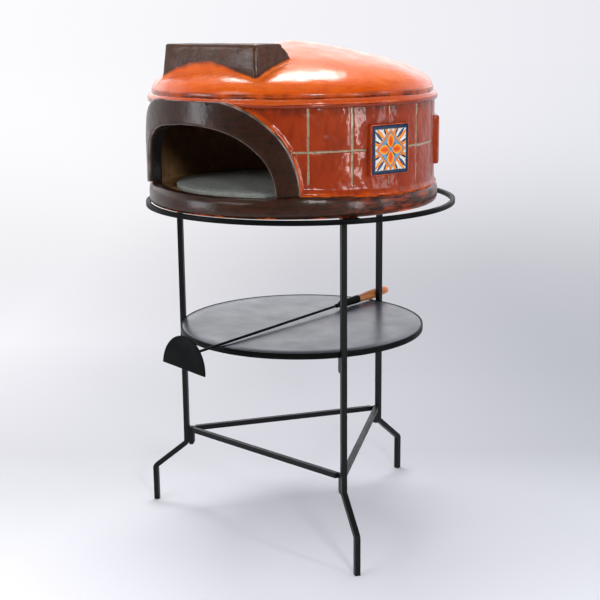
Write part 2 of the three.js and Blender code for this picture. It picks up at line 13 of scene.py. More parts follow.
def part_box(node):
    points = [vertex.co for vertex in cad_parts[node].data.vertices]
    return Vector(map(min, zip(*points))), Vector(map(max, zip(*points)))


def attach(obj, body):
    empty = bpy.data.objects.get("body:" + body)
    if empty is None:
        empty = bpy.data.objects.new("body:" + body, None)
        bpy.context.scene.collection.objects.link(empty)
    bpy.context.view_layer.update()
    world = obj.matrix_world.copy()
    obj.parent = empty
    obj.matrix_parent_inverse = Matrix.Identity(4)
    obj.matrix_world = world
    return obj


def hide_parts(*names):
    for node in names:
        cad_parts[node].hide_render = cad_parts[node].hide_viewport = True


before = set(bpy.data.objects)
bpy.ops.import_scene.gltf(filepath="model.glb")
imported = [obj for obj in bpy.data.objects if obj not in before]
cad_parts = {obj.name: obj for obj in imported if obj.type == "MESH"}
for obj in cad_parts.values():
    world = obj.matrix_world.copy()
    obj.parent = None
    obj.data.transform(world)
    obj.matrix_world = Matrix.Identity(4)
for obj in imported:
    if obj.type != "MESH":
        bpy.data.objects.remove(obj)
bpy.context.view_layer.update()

# ---- Dimensions ----
GAP = 0.0003  # between neighbouring pieces
BASE_LOW, BASE_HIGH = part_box("clay_base")
OVEN_Y = (BASE_LOW.y + BASE_HIGH.y) / 2
BASE_BOTTOM = BASE_LOW.z
BASE_TOP = BASE_HIGH.z
BASE_RADIUS = BASE_HIGH.x
FLOOR_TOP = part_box("baking_stone")[0].z - GAP
SILL_TOP = 0.806
CAVITY_RADIUS = 0.297
WALL_RADIUS = 0.314
WALL_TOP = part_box("clay_wall")[1].z
FLARE = 0.0052  # how far the wall's foot runs out over the base
RIDGE = 0.0036  # of the wall's clay pushed up round the arch
BEAD_RADIUS = 0.321
BEAD_TOP = 1.007
RIM_DROP = 0.0038  # of the bead and the groove
SHOULDER_RADIUS = 0.311
SHOULDER_HEIGHT = 1.012
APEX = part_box("clay_dome")[1].z
DOME_THICKNESS = 0.03
DOME_POWER = 2.2
JOINT_HEIGHT = 0.899
JOINT_SPACING = 16.667
JOINTS_EACH_SIDE = 8
JOINT_WIDTH = 0.0045
ARCH_RADIUS = 0.327
ARCH_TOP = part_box("mouth_arch")[1].z
ARCH_HALF_ANGLE = 43.8
ARCH_RISE = 0.205
OPENING_HALF_ANGLE = 34.8
OPENING_RISE = 0.143
ARCH_POWER = 2.2
ARCH_LEFT_POWER = 0.7  # added to it on the left
WALL_START_LEFT = 28.6
WALL_START_RIGHT = 22.6
HOOD_LOW, HOOD_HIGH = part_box("smoke_hood")
HOOD_TOP = HOOD_HIGH.z
HOOD_HALF_WIDTH = 0.131
HOOD_FRONT, HOOD_BACK = -0.254, -0.188  # of its top
HOOD_X = (HOOD_LOW.x + HOOD_HIGH.x) / 2
HOOD_REACH = 0.0095  # of its fillet over the dome
HOOD_CLIMB = 0.0115  # of its fillet up its walls
HOOD_ROUNDING = 0.0075
FLUE_HALF_WIDTH = 0.11
FLUE_FRONT = -0.232
FLUE_BACK = -0.196
TILE_AZIMUTHS = (79.2, 130, 180, -130, -79.2)
TILE_SIDE = 0.098
TILE_HEIGHT = 0.898
TILE_FACE_RADIUS = 0.3222
TILE_THICKNESS = 0.005
BOSS_SIDE = 0.106
BOSS_FACE_RADIUS = 0.321
STAND_TURN = -1.5
RING_BAR = 0.01
HOOP_BAR = 0.004
RAKE_HEADING, RAKE_RISE, RAKE_ROLL = 93.2, 0.92, 6.1
RAKE_CROSSING = (0.0132, -0.2807, 0.4743)
BLADE_AT, FERRULE_AT, HANDLE_AT = -0.1047, 0.431, 0.505  # along the rod

CAMERA_AZIMUTH, CAMERA_YAW, CAMERA_PITCH, CAMERA_ROLL = 40.75, -0.07, 13.15, -0.54
CAMERA_DISTANCE = 2.702
CAMERA_HEIGHT = 1.153
CAMERA_LENS = 71.55
LIGHT_TARGET = Vector((0, 0, 0.85))
BACKDROP_BOOST = 2.0
FLOOR_REACH = 30
MELT_NEAR, MELT_FAR = 3.6, 22.0  # from the camera, where the floor turns into surroundings
# centre of the floor's painted glow in front of the oven, which lifts a shadow there
PAINTED_GLOW_CENTRE = (0.22, -0.3, 0)


def rgb(red, green, blue):
    """A display colour of 0 to 255 as a linear colour."""
    def linear(level):
        level /= 255
        return level / 12.92 if level <= 0.04045 else ((level + 0.055) / 1.055) ** 2.4
    return (linear(red), linear(green), linear(blue), 1.0)


def add_object(name, data):
    item = bpy.data.objects.new(name, data)
    bpy.context.scene.collection.objects.link(item)
    return item


def spin(turn, axis):
    """A turn in degrees about an axis."""
    return Matrix.Rotation(radians(turn), 4, axis)


# ---- Camera, lights and stage ----
def make_camera():
    data = bpy.data.cameras.new("camera")
    data.sensor_width = 36
    data.lens = CAMERA_LENS
    camera = add_object("camera", data)
    away = Matrix.Translation((0, -CAMERA_DISTANCE, CAMERA_HEIGHT))
    aim = spin(-CAMERA_YAW, "Z") @ spin(90 - CAMERA_PITCH, "X") @ spin(CAMERA_ROLL, "Z")
    camera.matrix_world = spin(CAMERA_AZIMUTH, "Z") @ away @ aim
    bpy.context.scene.camera = camera


def softbox(name, azimuth, elevation, distance, width, height, power, colour=(1, 1, 1)):
    """An area light that faces the oven."""
    a, e = radians(azimuth), radians(elevation)
    towards = Vector((sin(a) * cos(e), -cos(a) * cos(e), sin(e)))
    data = bpy.data.lights.new(name, "AREA")
    data.shape = "RECTANGLE"
    data.size = width
    data.size_y = height
    data.energy = power
    data.color = colour
    light = add_object(name, data)
    light.location = LIGHT_TARGET + distance * towards
    light.rotation_euler = (LIGHT_TARGET - light.location).to_track_quat("-Z", "Y").to_euler()


def view(look, place):
    """How far a place lies behind the oven and to the right of it, as the camera sees them."""
    angle = radians(CAMERA_AZIMUTH)
    away = look.vector("DOT_PRODUCT", place, (-sin(angle), cos(angle), 0))
    return away, look.vector("DOT_PRODUCT", place, (cos(angle), sin(angle), 0))


def brightness(look, place):
    """Brightness of the far surroundings, from a direction: pale behind the oven, dim in front."""
    away, across = view(look, place)
    shade = look.ramp(look.span(away, -0.7, 0.6), (0.0, (0.08, 0.08, 0.09, 1)), (0.5, (0.3, 0.3, 0.33, 1)),
                      (0.8, (0.8, 0.8, 0.84, 1)), (1.0, (0.98, 0.98, 1.0, 1)))
    side = look.ramp(look.span(across, -0.25, 0.3), (0.0, 1.0), (1.0, (0.83, 0.83, 0.87, 1)))
    up = look.vector("DOT_PRODUCT", place, (0, 0, 1))
    high = look.ramp(up, (0.02, 1 / BACKDROP_BOOST), (0.14, 1.0), (0.42, 0.8), (0.7, 0.16), (1.0, 0.1))
    return look.tint(look.tint(shade, side), high)


def make_studio():
    world = bpy.data.worlds.new("studio")
    bpy.context.scene.world = world
    world.use_nodes = True
    nodes = Nodes(world.node_tree)
    background = nodes.tree.nodes["Background"]
    place = nodes.node("TexCoord").outputs["Generated"]
    nodes.feed(background.inputs["Color"], brightness(nodes, place))
    nodes.feed(background.inputs["Strength"], BACKDROP_BOOST)
    softbox("overhead", -128, 67, 2.6, 1.6, 0.72, 60)
    softbox("left_window", -32, -1, 3.0, 0.85, 1.2, 28, (0.93, 0.95, 1.0))
    softbox("middle_window", 88, 0, 3.2, 0.18, 1.1, 21)
    softbox("right_window", 114, 2, 3.2, 0.5, 1.4, 12)
    softbox("mouth_light", 58, 14, 3.0, 0.42, 0.42, 27)
    softbox("front_fill", -6, 24, 3.2, 1.3, 0.9, 19)
    softbox("ceiling", 0, 90, 3.4, 6.0, 6.0, 62)
    bpy.context.scene.view_settings.view_transform = "Standard"


def paint_floor(look, place):
    """Pale grey with painted shade, darker to the right and further away, and with a painted glow far out
    to the left, in the distance and in a spot in front.
    """
    away, across = view(look, place)
    # Painted shade: the floor's colour darkens to the right and behind the oven.
    shade = look.ramp(look.span(across, -1.3, 0.9), (0.0, (0.86, 0.86, 0.89, 1)),
                      (0.6, (0.8, 0.8, 0.86, 1)), (1.0, (0.68, 0.7, 0.76, 1)))
    depth = look.ramp(look.span(away, -0.6, 0.4), (0.0, 1.0), (1.0, 0.66))
    look.lay(look.tint(shade, depth))
    # Painted light: the floor glows far out to the left, in the distance and in a spot in front of the
    # oven.
    painted_glow_spot = look.span(look.vector("DISTANCE", place, PAINTED_GLOW_CENTRE), 0.7, 0.05, 0.0, 0.12)
    left = look.times(look.span(away, 0.1, 1.6, 0.0, 0.32), look.span(across, 0.0, -1.1))
    lift = look.plus(look.plus(left, look.span(away, 1.2, 5.0, 0.0, 0.14)), painted_glow_spot)
    look.set("Emission Color", (0.97, 0.97, 1.0, 1))
    look.set("Emission Strength", lift)


def melt_floor(look, place):
    """Far from the camera, the floor glows as the surroundings above it do."""
    from_camera = look.plus(look.vector("LENGTH", place), CAMERA_DISTANCE)
    far = look.span(look.calc("DIVIDE", 1.0, from_camera), 1 / MELT_NEAR, 1 / MELT_FAR)
    far.node.interpolation_type = "SMOOTHERSTEP"
    horizon = brightness(look, look.vector("NORMALIZE", place))
    glow = look.node("Emission", {"Color": horizon, "Strength": BACKDROP_BOOST})
    blend = look.node("MixShader", {0: far, 1: look.shader.outputs[0], 2: glow.outputs[0]})
    look.feed(look.tree.nodes["Material Output"].inputs["Surface"], blend.outputs[0])


def make_floor():
    mesh = bpy.data.meshes.new("floor")
    bm = bmesh.new()
    bmesh.ops.create_circle(bm, cap_ends=True, segments=64, radius=FLOOR_REACH)
    bm.to_mesh(mesh)
    bm.free()
    look = Look("pale_floor", specular=0.2)
    look.set("Roughness", 0.7)
    place = look.place()
    paint_floor(look, place)
    melt_floor(look, place)
    mesh.materials.append(look.material)
    floor = add_object("floor", mesh)


# ---- Materials ----
class Nodes:
    """A node tree, put together step by step."""

    def __init__(self, tree):
        self.tree = tree

    def node(self, kind, inputs=None, **settings):
        node = self.tree.nodes.new("ShaderNode" + kind)
        for key, value in settings.items():
            setattr(node, key, value)
        for key, value in (inputs or {}).items():
            self.feed(node.inputs[key], value)
        return node

    def feed(self, socket, value):
        if isinstance(value, bpy.types.NodeSocket):
            self.tree.links.new(value, socket)
        else:
            socket.default_value = value

    def place(self, stretch=(1, 1, 1)):
        """Object coordinates, stretched."""
        inputs = {"Vector": self.node("TexCoord").outputs["Object"], "Scale": stretch}
        return self.node("Mapping", inputs).outputs["Vector"]

    def noise(self, scale, detail=4.0, roughness=0.55, stretch=(1, 1, 1), distortion=0.0):
        inputs = {"Vector": self.place(stretch), "Scale": scale, "Detail": detail,
                  "Roughness": roughness, "Distortion": distortion}
        return self.node("TexNoise", inputs).outputs["Fac"]

    def mask(self, name, output="Fac"):
        return self.node("Attribute", attribute_name=name).outputs[output]

    def axis(self, letter):
        return self.node("SeparateXYZ", {0: self.place()}).outputs[letter]

    def ramp(self, factor, *stops):
        """Stops of (position, colour or grey level)."""
        node = self.node("ValToRGB", {"Fac": factor})
        elements = node.color_ramp.elements
        while len(elements) < len(stops):
            elements.new(0.5)
        for element, (position, colour) in zip(elements, stops):
            element.position = position
            element.color = colour if isinstance(colour, tuple) else (colour, colour, colour, 1)
        return node.outputs["Color"]

    def patches(self, scale, detail, first, second, start=0.3, end=0.7):
        """Patches of two colours or levels, from noise."""
        return self.ramp(self.noise(scale, detail), (start, first), (end, second))

    def span(self, value, low, high, to_low=0.0, to_high=1.0):
        inputs = {"Value": value, "From Min": low, "From Max": high, "To Min": to_low, "To Max": to_high}
        return self.node("MapRange", inputs).outputs["Result"]

    def calc(self, operation, first, second):
        return self.node("Math", {0: first, 1: second}, operation=operation).outputs[0]

    def plus(self, first, second):
        return self.calc("ADD", first, second)

    def times(self, first, second):
        return self.calc("MULTIPLY", first, second)

    def vector(self, operation, first, second=(0, 0, 0)):
        node = self.node("VectorMath", {0: first, 1: second}, operation=operation)
        return node.outputs["Vector" if operation == "NORMALIZE" else "Value"]

    def mix(self, factor, first, second, blend="MIX"):
        inputs = {0: factor, 6: first, 7: second}
        return self.node("Mix", inputs, data_type="RGBA", blend_type=blend).outputs[2]

    def tint(self, first, second):
        return self.mix(1.0, first, second, "MULTIPLY")


class Look(Nodes):
    """A material."""

    def __init__(self, name, coat=0.0, coat_roughness=0.03, specular=0.5):
        self.material = bpy.data.materials.new(name)
        self.material.use_nodes = True
        super().__init__(self.material.node_tree)
        self.shader = self.tree.nodes["Principled BSDF"]
        self.body = None
        self.set("Coat Weight", coat)
        self.set("Coat Roughness", coat_roughness)
        self.set("Specular IOR Level", specular)

    def set(self, socket, value):
        self.feed(self.shader.inputs[socket], value)

    def lay(self, colour, where=None):
        """Lays a colour over those so far: everywhere, by a mask's name or by a factor."""
        if where is None:
            self.body = colour
        else:
            factor = self.mask(where) if isinstance(where, str) else where
            self.body = self.mix(factor, self.body, colour)
        self.set("Base Color", self.body)

    def bump(self, *layers):
        """Layers of (height, depth in metres), one on top of the other."""
        normal = None
        for height, depth in layers:
            node = self.node("Bump", {"Distance": depth, "Height": height})
            if normal is not None:
                self.feed(node.inputs["Normal"], normal)
            normal = node.outputs["Normal"]
        self.set("Normal", normal)
        self.set("Coat Normal", normal)


ORANGE = rgb(228, 92, 8)
ORANGE_LIGHT = rgb(240, 114, 18)
ORANGE_DEEP = rgb(190, 58, 4)
RED = rgb(138, 43, 10)
RED_LIGHT = rgb(154, 54, 16)
RED_DEEP = rgb(102, 28, 7)
BROWN = rgb(44, 26, 16)
BROWN_LIGHT = rgb(60, 37, 24)
BROWN_DEEP = rgb(26, 13, 7)
WEAR = rgb(178, 70, 36)
# colour of the painted highlight along the arch's edges
EDGE_HIGHLIGHT = rgb(206, 178, 168)
NEAR_BLACK = (0.004, 0.004, 0.003, 1)


def brushed_orange(look):
    """Orange glaze with fine level brush strokes."""
    body = look.patches(5, 3, ORANGE, ORANGE_LIGHT, 0.35, 0.65)
    fine = look.noise(34, 6, 0.65, stretch=(1, 1, 5))
    return look.mix(look.ramp(fine, (0.42, 0.0), (0.75, 0.6)), body, ORANGE_DEEP)


def orange_glaze():
    look = Look("orange_glaze", 0.58, 0.19, 0.12)
    rim = look.span(look.axis("Z"), SHOULDER_HEIGHT + 0.034, SHOULDER_HEIGHT)
    rim = look.times(rim, look.patches(16, 3, 0.45, 1.0))
    look.lay(brushed_orange(look))
    look.lay(ORANGE_DEEP, look.times(rim, 0.62))
    look.lay(BROWN_DEEP, look.times(look.mask("groove"), look.patches(22, 4, 0.25, 1.0, 0.36, 0.56)))
    look.lay(RED_DEEP, look.times(look.mask("under"), 0.85))
    look.lay(soot(look), "inside")
    look.set("Roughness", look.patches(24, 3, 0.2, 0.36))
    look.bump((look.noise(12, 2), 0.002), (look.noise(60, 3, stretch=(1, 1, 3)), 0.00035))
    return look.material


def soot(look):
    """Raw clay that darkens with height."""
    clay = look.patches(30, 6, rgb(152, 116, 78), rgb(188, 146, 102))
    uneven = look.span(look.noise(6), 0.4, 0.6, -0.2, 0.2)
    dark = look.plus(look.span(look.axis("Z"), 0.9, 0.99), uneven)
    return look.mix(look.ramp(dark, (0, 0.0), (1, 1.0)), clay, rgb(26, 27, 23))


def red_clay():
    look = Look("red_clay", 0.52, 0.15, 0.06)
    look.lay(look.patches(9, 4, RED, RED_LIGHT, 0.35, 0.68))
    streak = look.noise(55, 5, stretch=(1, 1, 0.35))
    look.lay(RED_DEEP, look.ramp(streak, (0.45, 0.0), (0.75, 0.55)))
    # Brown along the wall's top under the bead: partly painted shade under its overhang, partly patina.
    top = look.span(look.axis("Z"), 0.966, 0.985)
    look.lay(BROWN, look.times(top, look.patches(40, 4, 0.0, 0.8, 0.35, 0.6)))
    look.lay(look.patches(50, 4, RED, ORANGE, 0.35, 0.6), "fillet")
    mortar = look.patches(90, 5, rgb(128, 112, 86), rgb(170, 156, 128))
    look.lay(mortar, look.ramp(look.mask("joint"), (0.45, 0.0), (0.75, 1.0)))
    look.lay(soot(look), "inside")
    look.set("Roughness", look.mix(look.mask("joint"), look.patches(30, 4, 0.3, 0.48), (0.8, 0.8, 0.8, 1)))
    look.bump((look.noise(24, 2, 0.6), 0.0042), (look.noise(110, 3, stretch=(1, 1, 0.5)), 0.0004))
    return look.material


def brown_clay(name="brown_clay", ragged=0.35, soft=0.1, tone=0.8):
    """Brown clay of a tone, with orange glaze that ends in an edge as ragged and as soft as said."""
    look = Look(name, 0.32, 0.18, 0.12)
    look.lay(look.patches(8, 4, BROWN, BROWN_LIGHT, 0.35, 0.68))
    look.lay(BROWN_DEEP, look.patches(80, 6, 0.0, 0.7, 0.45, 0.75))
    look.lay(look.tint(look.body, (tone, tone, tone, 1)))
    scratch = look.ramp(look.noise(24, 7, 0.72, stretch=(1, 1, 7)), (0.46, 0.0), (0.62, 0.9))
    look.lay(WEAR, look.times(scratch, look.mask("scuffed")))
    frayed = look.plus(look.mask("edge"), look.span(look.noise(36, 5), 0.3, 0.7, -ragged, ragged))
    look.lay(brushed_orange(look), look.ramp(frayed, (0.52 - soft, 0.0), (0.52 + soft, 1.0)))
    look.lay(soot(look), "inside")
    # Painted highlight along the arch's edges.
    look.lay(EDGE_HIGHLIGHT, "edge_highlight")
    look.lay(NEAR_BLACK, "dark")
    look.set("Roughness", look.mix(look.mask("dark"), look.patches(34, 4, 0.3, 0.44), (0.9, 0.9, 0.9, 1)))
    look.bump((look.noise(16, 2), 0.0012), (look.noise(140, 3), 0.0003))
    return look.material


def grey_stone():
    look = Look("grey_stone")
    look.lay(look.ramp(look.noise(26, 6, 0.7), (0.3, rgb(176, 182, 176)), (0.7, rgb(214, 219, 212))))
    look.lay(rgb(140, 146, 140), look.patches(240, 5, 0.0, 0.6, 0.4, 0.7))
    look.lay(rgb(136, 126, 112), look.patches(7, 5, 0.0, 0.5, 0.55, 0.75))
    # Painted light and shade: the stone's colour is halved at its front and full at its back.
    painted_back_light = look.ramp(look.span(look.axis("Y"), -0.22, -0.02), (0, 0.5), (1, 1.0))
    look.lay(look.tint(look.body, painted_back_light))
    look.set("Roughness", look.patches(60, 4, 0.75, 0.95))
    look.bump((look.noise(60, 4), 0.0007), (look.noise(320, 4), 0.0004))
    return look.material


def painted_tile():
    look = Look("painted_tile", 0.08, 0.08, 0.05)
    look.lay(look.tint(look.mask("paint", "Color"), look.patches(130, 5, 0.8, 1.0)))
    look.set("Roughness", look.patches(90, 4, 0.14, 0.26))
    look.bump((look.noise(80, 3), 0.0004))
    return look.material


def black_steel(name="black_steel", level=0.6, gloss=0.34, shine=0.04):
    look = Look(name, shine / 2, 0.2, shine)
    deep = (0.003 * level, 0.004 * level, 0.004 * level, 1)
    light = (0.007 * level, 0.008 * level, 0.008 * level, 1)
    look.lay(look.patches(12, 4, deep, light))
    look.lay((0.03, 0.03, 0.028, 1), look.ramp(look.noise(70, 6, 0.7), (0.62, 0.0), (0.85, 0.2)))
    look.set("Roughness", look.patches(28, 4, gloss, gloss + 0.14))
    look.bump((look.noise(300, 3), 0.00012), (look.noise(40, 3), 0.00025))
    return look.material


def shelf_steel():
    look = Look("shelf_steel", 0.15, 0.25, 0.42)
    look.lay(look.patches(5, 4, (0.034, 0.046, 0.07, 1), (0.046, 0.06, 0.086, 1)))
    look.lay((0.12, 0.13, 0.145, 1), look.ramp(look.noise(120, 6, 0.75), (0.58, 0.0), (0.85, 0.14)))
    look.set("Roughness", look.patches(16, 5, 0.27, 0.38))
    look.bump((look.noise(3, 1), 0.0006), (look.noise(400, 2), 0.00003))
    return look.material


def turned_wood():
    look = Look("turned_wood", 0.25, 0.25)
    rings = look.noise(60, 6, 0.6, stretch=(1, 1, 0.06), distortion=0.6)
    look.lay(look.ramp(rings, (0.32, rgb(128, 68, 24)), (0.5, rgb(168, 98, 42)), (0.68, rgb(190, 122, 60))))
    pores = look.noise(420, 4, stretch=(1, 1, 0.05))
    look.lay(rgb(110, 62, 30), look.ramp(pores, (0.58, 0.0), (0.7, 0.6)))
    look.lay(rgb(214, 112, 46), "butt")
    look.set("Roughness", look.ramp(rings, (0.3, 0.38), (0.7, 0.52)))
    look.bump((look.noise(300, 4, stretch=(1, 1, 0.05)), 0.0003))
    return look.material


# ---- Mesh helpers ----
def drum(radius, azimuth, height):
    """A point about the oven's axis."""
    angle = radians(azimuth)
    return Vector((radius * sin(angle), OVEN_Y - radius * cos(angle), height))


def hand(point, scale, amount, seed=0.0):
    """The unevenness that hands leave in clay."""
    return amount * noise.noise(point / scale + Vector((seed, 0.7 * seed, 3.1)))


def smooth(low, high, value):
    """0 at low, 1 at high, eased in between; low may be the larger."""
    part = min(max((value - low) / (high - low), 0.0), 1.0)
    return part * part * (3 - 2 * part)


def hump(value, middle, width):
    """1 at the middle, falling off like a bell."""
    return exp(-((value - middle) / width) ** 2)


def skin(loops, ends):
    """Faces between neighbouring closed loops, whose ends are joined, capped or left open."""
    count = len(loops[0])
    last = len(loops) if ends == "joined" else len(loops) - 1
    faces = []
    for i in range(last):
        here = i * count
        there = ((i + 1) % len(loops)) * count
        for j in range(count):
            k = (j + 1) % count
            faces.append((here + j, there + j, there + k, here + k))
    if ends == "capped":
        faces.append(tuple(range(count)))
        faces.append(tuple(range(last * count, (last + 1) * count)))
    return faces


def finish_mesh(mesh, sharp):
    """Joins points that coincide, turns the faces outwards and shades them smooth but for sharp edges."""
    bm = bmesh.new()
    bm.from_mesh(mesh)
    bmesh.ops.remove_doubles(bm, verts=bm.verts, dist=2e-6)
    bmesh.ops.dissolve_degenerate(bm, dist=1e-6, edges=bm.edges)
    bmesh.ops.recalc_face_normals(bm, faces=bm.faces)
    bm.to_mesh(mesh)
    bm.free()
    mesh.polygons.foreach_set("use_smooth", [True] * len(mesh.polygons))
    mesh.set_sharp_from_angle(angle=radians(sharp))


def build(name, loops, ends="joined", masks=None, sharp=38):
    """A shaded object skinned over loops, with a named mask value for each point."""
    mesh = bpy.data.meshes.new(name)
    mesh.from_pydata([tuple(point) for loop in loops for point in loop], [], skin(loops, ends))
    for mask, values in (masks or {}).items():
        mesh.attributes.new(mask, "FLOAT", "POINT").data.foreach_set("value", values)
    finish_mesh(mesh, sharp)
    return add_object(name, mesh)


def sweep(name, sections, masks, ends="joined", sharp=60):
    """A piece skinned over sections of (point, value of each mask)."""
    sections = [list(section) for section in sections]
    loops = [[row[0] for row in section] for section in sections]
    values = {}
    for at, mask in enumerate(masks, 1):
        values[mask] = [row[at] for section in sections for row in section]
    return build(name, loops, ends, values, sharp)


def settle(piece, body, node, material):
    """Puts a finished piece in place of a CAD node."""
    piece.data.materials.append(material)
    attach(piece, body)
    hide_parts(node)


def turned(name, profile, steps, matrix=None, sharp=38, masks=None):
    """A solid of revolution about +Z from (radius, height) points."""
    loops = []
    for step in range(steps):
        angle = 2 * pi * step / steps
        loops.append([Vector((r * cos(angle), r * sin(angle), z)) for r, z in profile])
    values = {mask: list(rows) * steps for mask, rows in (masks or {}).items()}
    piece = build(name, loops, "joined", values, sharp)
    if matrix is not None:
        piece.matrix_world = matrix
    return piece


def rounded(half_x, half_y, corner, corner_steps, side_steps):
    """Points round a rectangle with rounded corners, anticlockwise."""
    x, y = half_x - corner, half_y - corner
    centres = [(x, y), (-x, y), (-x, -y), (x, -y)]
    outline = []
    for quarter, (x, y) in enumerate(centres):
        for step in range(corner_steps + 1):
            angle = pi / 2 * (quarter + step / corner_steps)
            outline.append((x + corner * cos(angle), y + corner * sin(angle)))
        start = outline[-1]
        ahead = centres[(quarter + 1) % 4]
        for step in range(1, side_steps):
            part = step / side_steps
            outline.append((start[0] + (ahead[0] - x) * part, start[1] + (ahead[1] - y) * part))
    return outline


def dress(node, material, width):
    """Gives a CAD node its finish and soft edges."""
    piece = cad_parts[node]
    piece.data.materials.clear()
    piece.data.materials.append(material)
    weld = piece.modifiers.new("weld", "WELD")
    weld.merge_threshold = 1e-5
    bevel = piece.modifiers.new("edges", "BEVEL")
    bevel.width = width
    bevel.segments = 2
    bevel.limit_method = "ANGLE"
    bevel.angle_limit = radians(35)
    bevel.harden_normals = True


# ---- Oven ----
def arch_level(across):
    """Height of a rounded arch as a share of its rise; its left half is a little squarer."""
    power = ARCH_POWER + ARCH_LEFT_POWER * smooth(0.0, -0.45, across)
    return max(1 - abs(across) ** power, 0.0) ** (1 / power)


def arch_outline(turn, half_angle, rise):
    """A point of the arch on the drum, as (azimuth, height), for a turn from 0 to pi."""
    cosine = cos(turn)
    across = copysign(abs(cosine) ** (2 / ARCH_POWER), cosine)
    return half_angle * across, SILL_TOP + rise * arch_level(across)


def wall_foot(azimuth):
    """Top of the base under the wall, which hands have pushed up beside the mouth."""
    side = abs(azimuth)
    return BASE_TOP - 0.0015 + 0.0045 * hump(side, 45, 12) - 0.0045 * smooth(58, 95, side)


def base_height(azimuth):
    """Top of the base: a low sill in the mouth, higher under the wall."""
    side = abs(azimuth)
    sill = SILL_TOP + 0.0035 * smooth(5, -30, azimuth) + 0.006 * smooth(29.5, 35.5, side) ** 2
    return sill + (wall_foot(azimuth) - sill) * smooth(35.0, 37.0, side)


def dome_height(radius):
    across = min(radius / SHOULDER_RADIUS, 1.0)
    bulge = (1 - across ** DOME_POWER) ** (1 / DOME_POWER)
    return SHOULDER_HEIGHT + (APEX - SHOULDER_HEIGHT) * (0.4 * (1 - across) + 0.6 * bulge)


def crown_swell(radius, azimuth):
    """How far hands have raised the crown of the dome at a place."""
    height = dome_height(radius)
    point = drum(radius, azimuth, height)
    swell = hand(point, 0.11, 0.0026) + hand(point, 0.04, 0.0007, 3)
    swell *= smooth(0.0, 0.05, SHOULDER_RADIUS + 0.06 - radius)
    return min(swell, APEX - 0.0002 - height)


# (radius, height above the bottom) up the outside of the base
BASE_SIDE = [(0.3145, 0), (0.3165, 0.0003), (0.3187, 0.0014), (0.3206, 0.0036), (0.3219, 0.007),
             (0.3227, 0.012), (0.323, 0.019), (0.3229, 0.026), (0.3224, 0.032), (0.3213, 0.037),
             (0.3196, 0.0408), (0.3176, 0.0436), (0.3155, 0.0455), (0.3135, 0.0464)]


def base_section(azimuth):
    """(point, edge, scuffed, inside) up the outside of the base and in over its floor."""
    side = abs(azimuth)
    top = base_height(azimuth)
    sunk = (BASE_TOP - top) * 0.9
    wear = 0.06 + 0.66 * smooth(46, 88, side) - 0.2 * smooth(115, 150, side)
    for radius in (0, 0.2):
        yield drum(radius, azimuth, BASE_BOTTOM), 0, 0, 0
    for radius, rise in BASE_SIDE:
        point = drum(radius, azimuth, BASE_BOTTOM + rise - sunk * smooth(0.012, 0.047, rise))
        swell = hand(point, 0.07, 0.0009) + hand(point, 0.02, 0.0004, 5)
        radius += min(swell, BASE_RADIUS - radius) * smooth(0, 0.01, rise)
        rubbed_top = smooth(0.04, 0.0465, rise) * smooth(42.5, 45, side) * 0.9
        edge = max(0.66 * (1 - rise / 0.007), rubbed_top)
        place = drum(radius, azimuth, min(point.z, top - 0.0002))
        yield place, edge, smooth(0, 0.01, rise) * wear, 0
    for radius, height, inside in (
            (0.31, top, 0), (0.304, top, 0), (CAVITY_RADIUS + 0.0018, top, 0),
            (CAVITY_RADIUS + GAP, top - 0.0014, 1), (CAVITY_RADIUS, FLOOR_TOP + 0.002, 1),
            (CAVITY_RADIUS - 0.001, FLOOR_TOP, 1), (0.15, FLOOR_TOP, 1), (0, FLOOR_TOP, 1)):
        yield drum(radius, azimuth, height), 0, 0, inside


def make_base(material):
    steps = 288
    sections = [base_section(360 * step / steps - 180) for step in range(steps)]
    piece = sweep("base", sections, ("edge", "scuffed", "inside"), sharp=50)
    settle(piece, "oven", "clay_base", material)


def wall_columns(left, right):
    """Azimuths of the wall's columns, close together at the joints and beside the mouth."""
    columns = [*np.arange(-180.0, 180.0, 1.0), *np.arange(right, 52, 0.4), *np.arange(-52, left, 0.4)]
    joint = degrees(JOINT_WIDTH / WALL_RADIUS)
    for line in range(-JOINTS_EACH_SIDE, JOINTS_EACH_SIDE + 1):
        centre = (line * JOINT_SPACING + 360) % 360 - 180
        columns += [centre + joint * part for part in (-1.2, -0.75, -0.5, -0.3, 0, 0.3, 0.5, 0.75, 1.2)]
    columns = sorted(((c + 180) % 360) - 180 for c in columns)
    kept = []
    for column in columns:
        if not left < column < right and (not kept or column - kept[-1] > 0.05):
            kept.append(column)
    return [c for c in kept if c > 0] + [c + 360 for c in kept if c < 0]


def wall_rows(top):
    """Heights of the wall's rows, close together at the level joint."""
    rows = list(np.arange(BASE_TOP - 0.009, top, 0.003)) + [top, JOINT_HEIGHT]
    for step in (0.0012, 0.0022, 0.0032, 0.005):
        rows += [JOINT_HEIGHT - step, JOINT_HEIGHT + step]
    return sorted({round(row, 5) for row in rows})


def wall_cut(azimuth):
    """Lowest height of the wall beside and above the mouth."""
    across = azimuth / (ARCH_HALF_ANGLE - 0.4)
    foot = wall_foot(azimuth) - 0.0002
    if abs(across) >= 1:
        return foot
    height = SILL_TOP + (ARCH_RISE - 0.0015) * arch_level(across)
    return min(max(height, foot), WALL_TOP + 0.0005)


def joint_distance(azimuth, height, wander):
    """Distances to the nearest upright and to the level pressed joint line."""
    turn = (azimuth - 180) / JOINT_SPACING
    line = round(turn)
    across = abs(turn - line) * radians(JOINT_SPACING) * WALL_RADIUS
    if abs(line) > JOINTS_EACH_SIDE:
        across = 1.0
    return max(across + wander, 0.0), abs(height - JOINT_HEIGHT + wander)


def arch_ridge(azimuth, height, rim):
    """1 along the rim of the arch, on the unrolled wall."""
    if abs(azimuth) >= 60:
        return 0.0
    across = rim[:, 0] - radians(azimuth) * WALL_RADIUS
    return hump(np.hypot(across, rim[:, 1] - height).min(), 0, 0.0045)


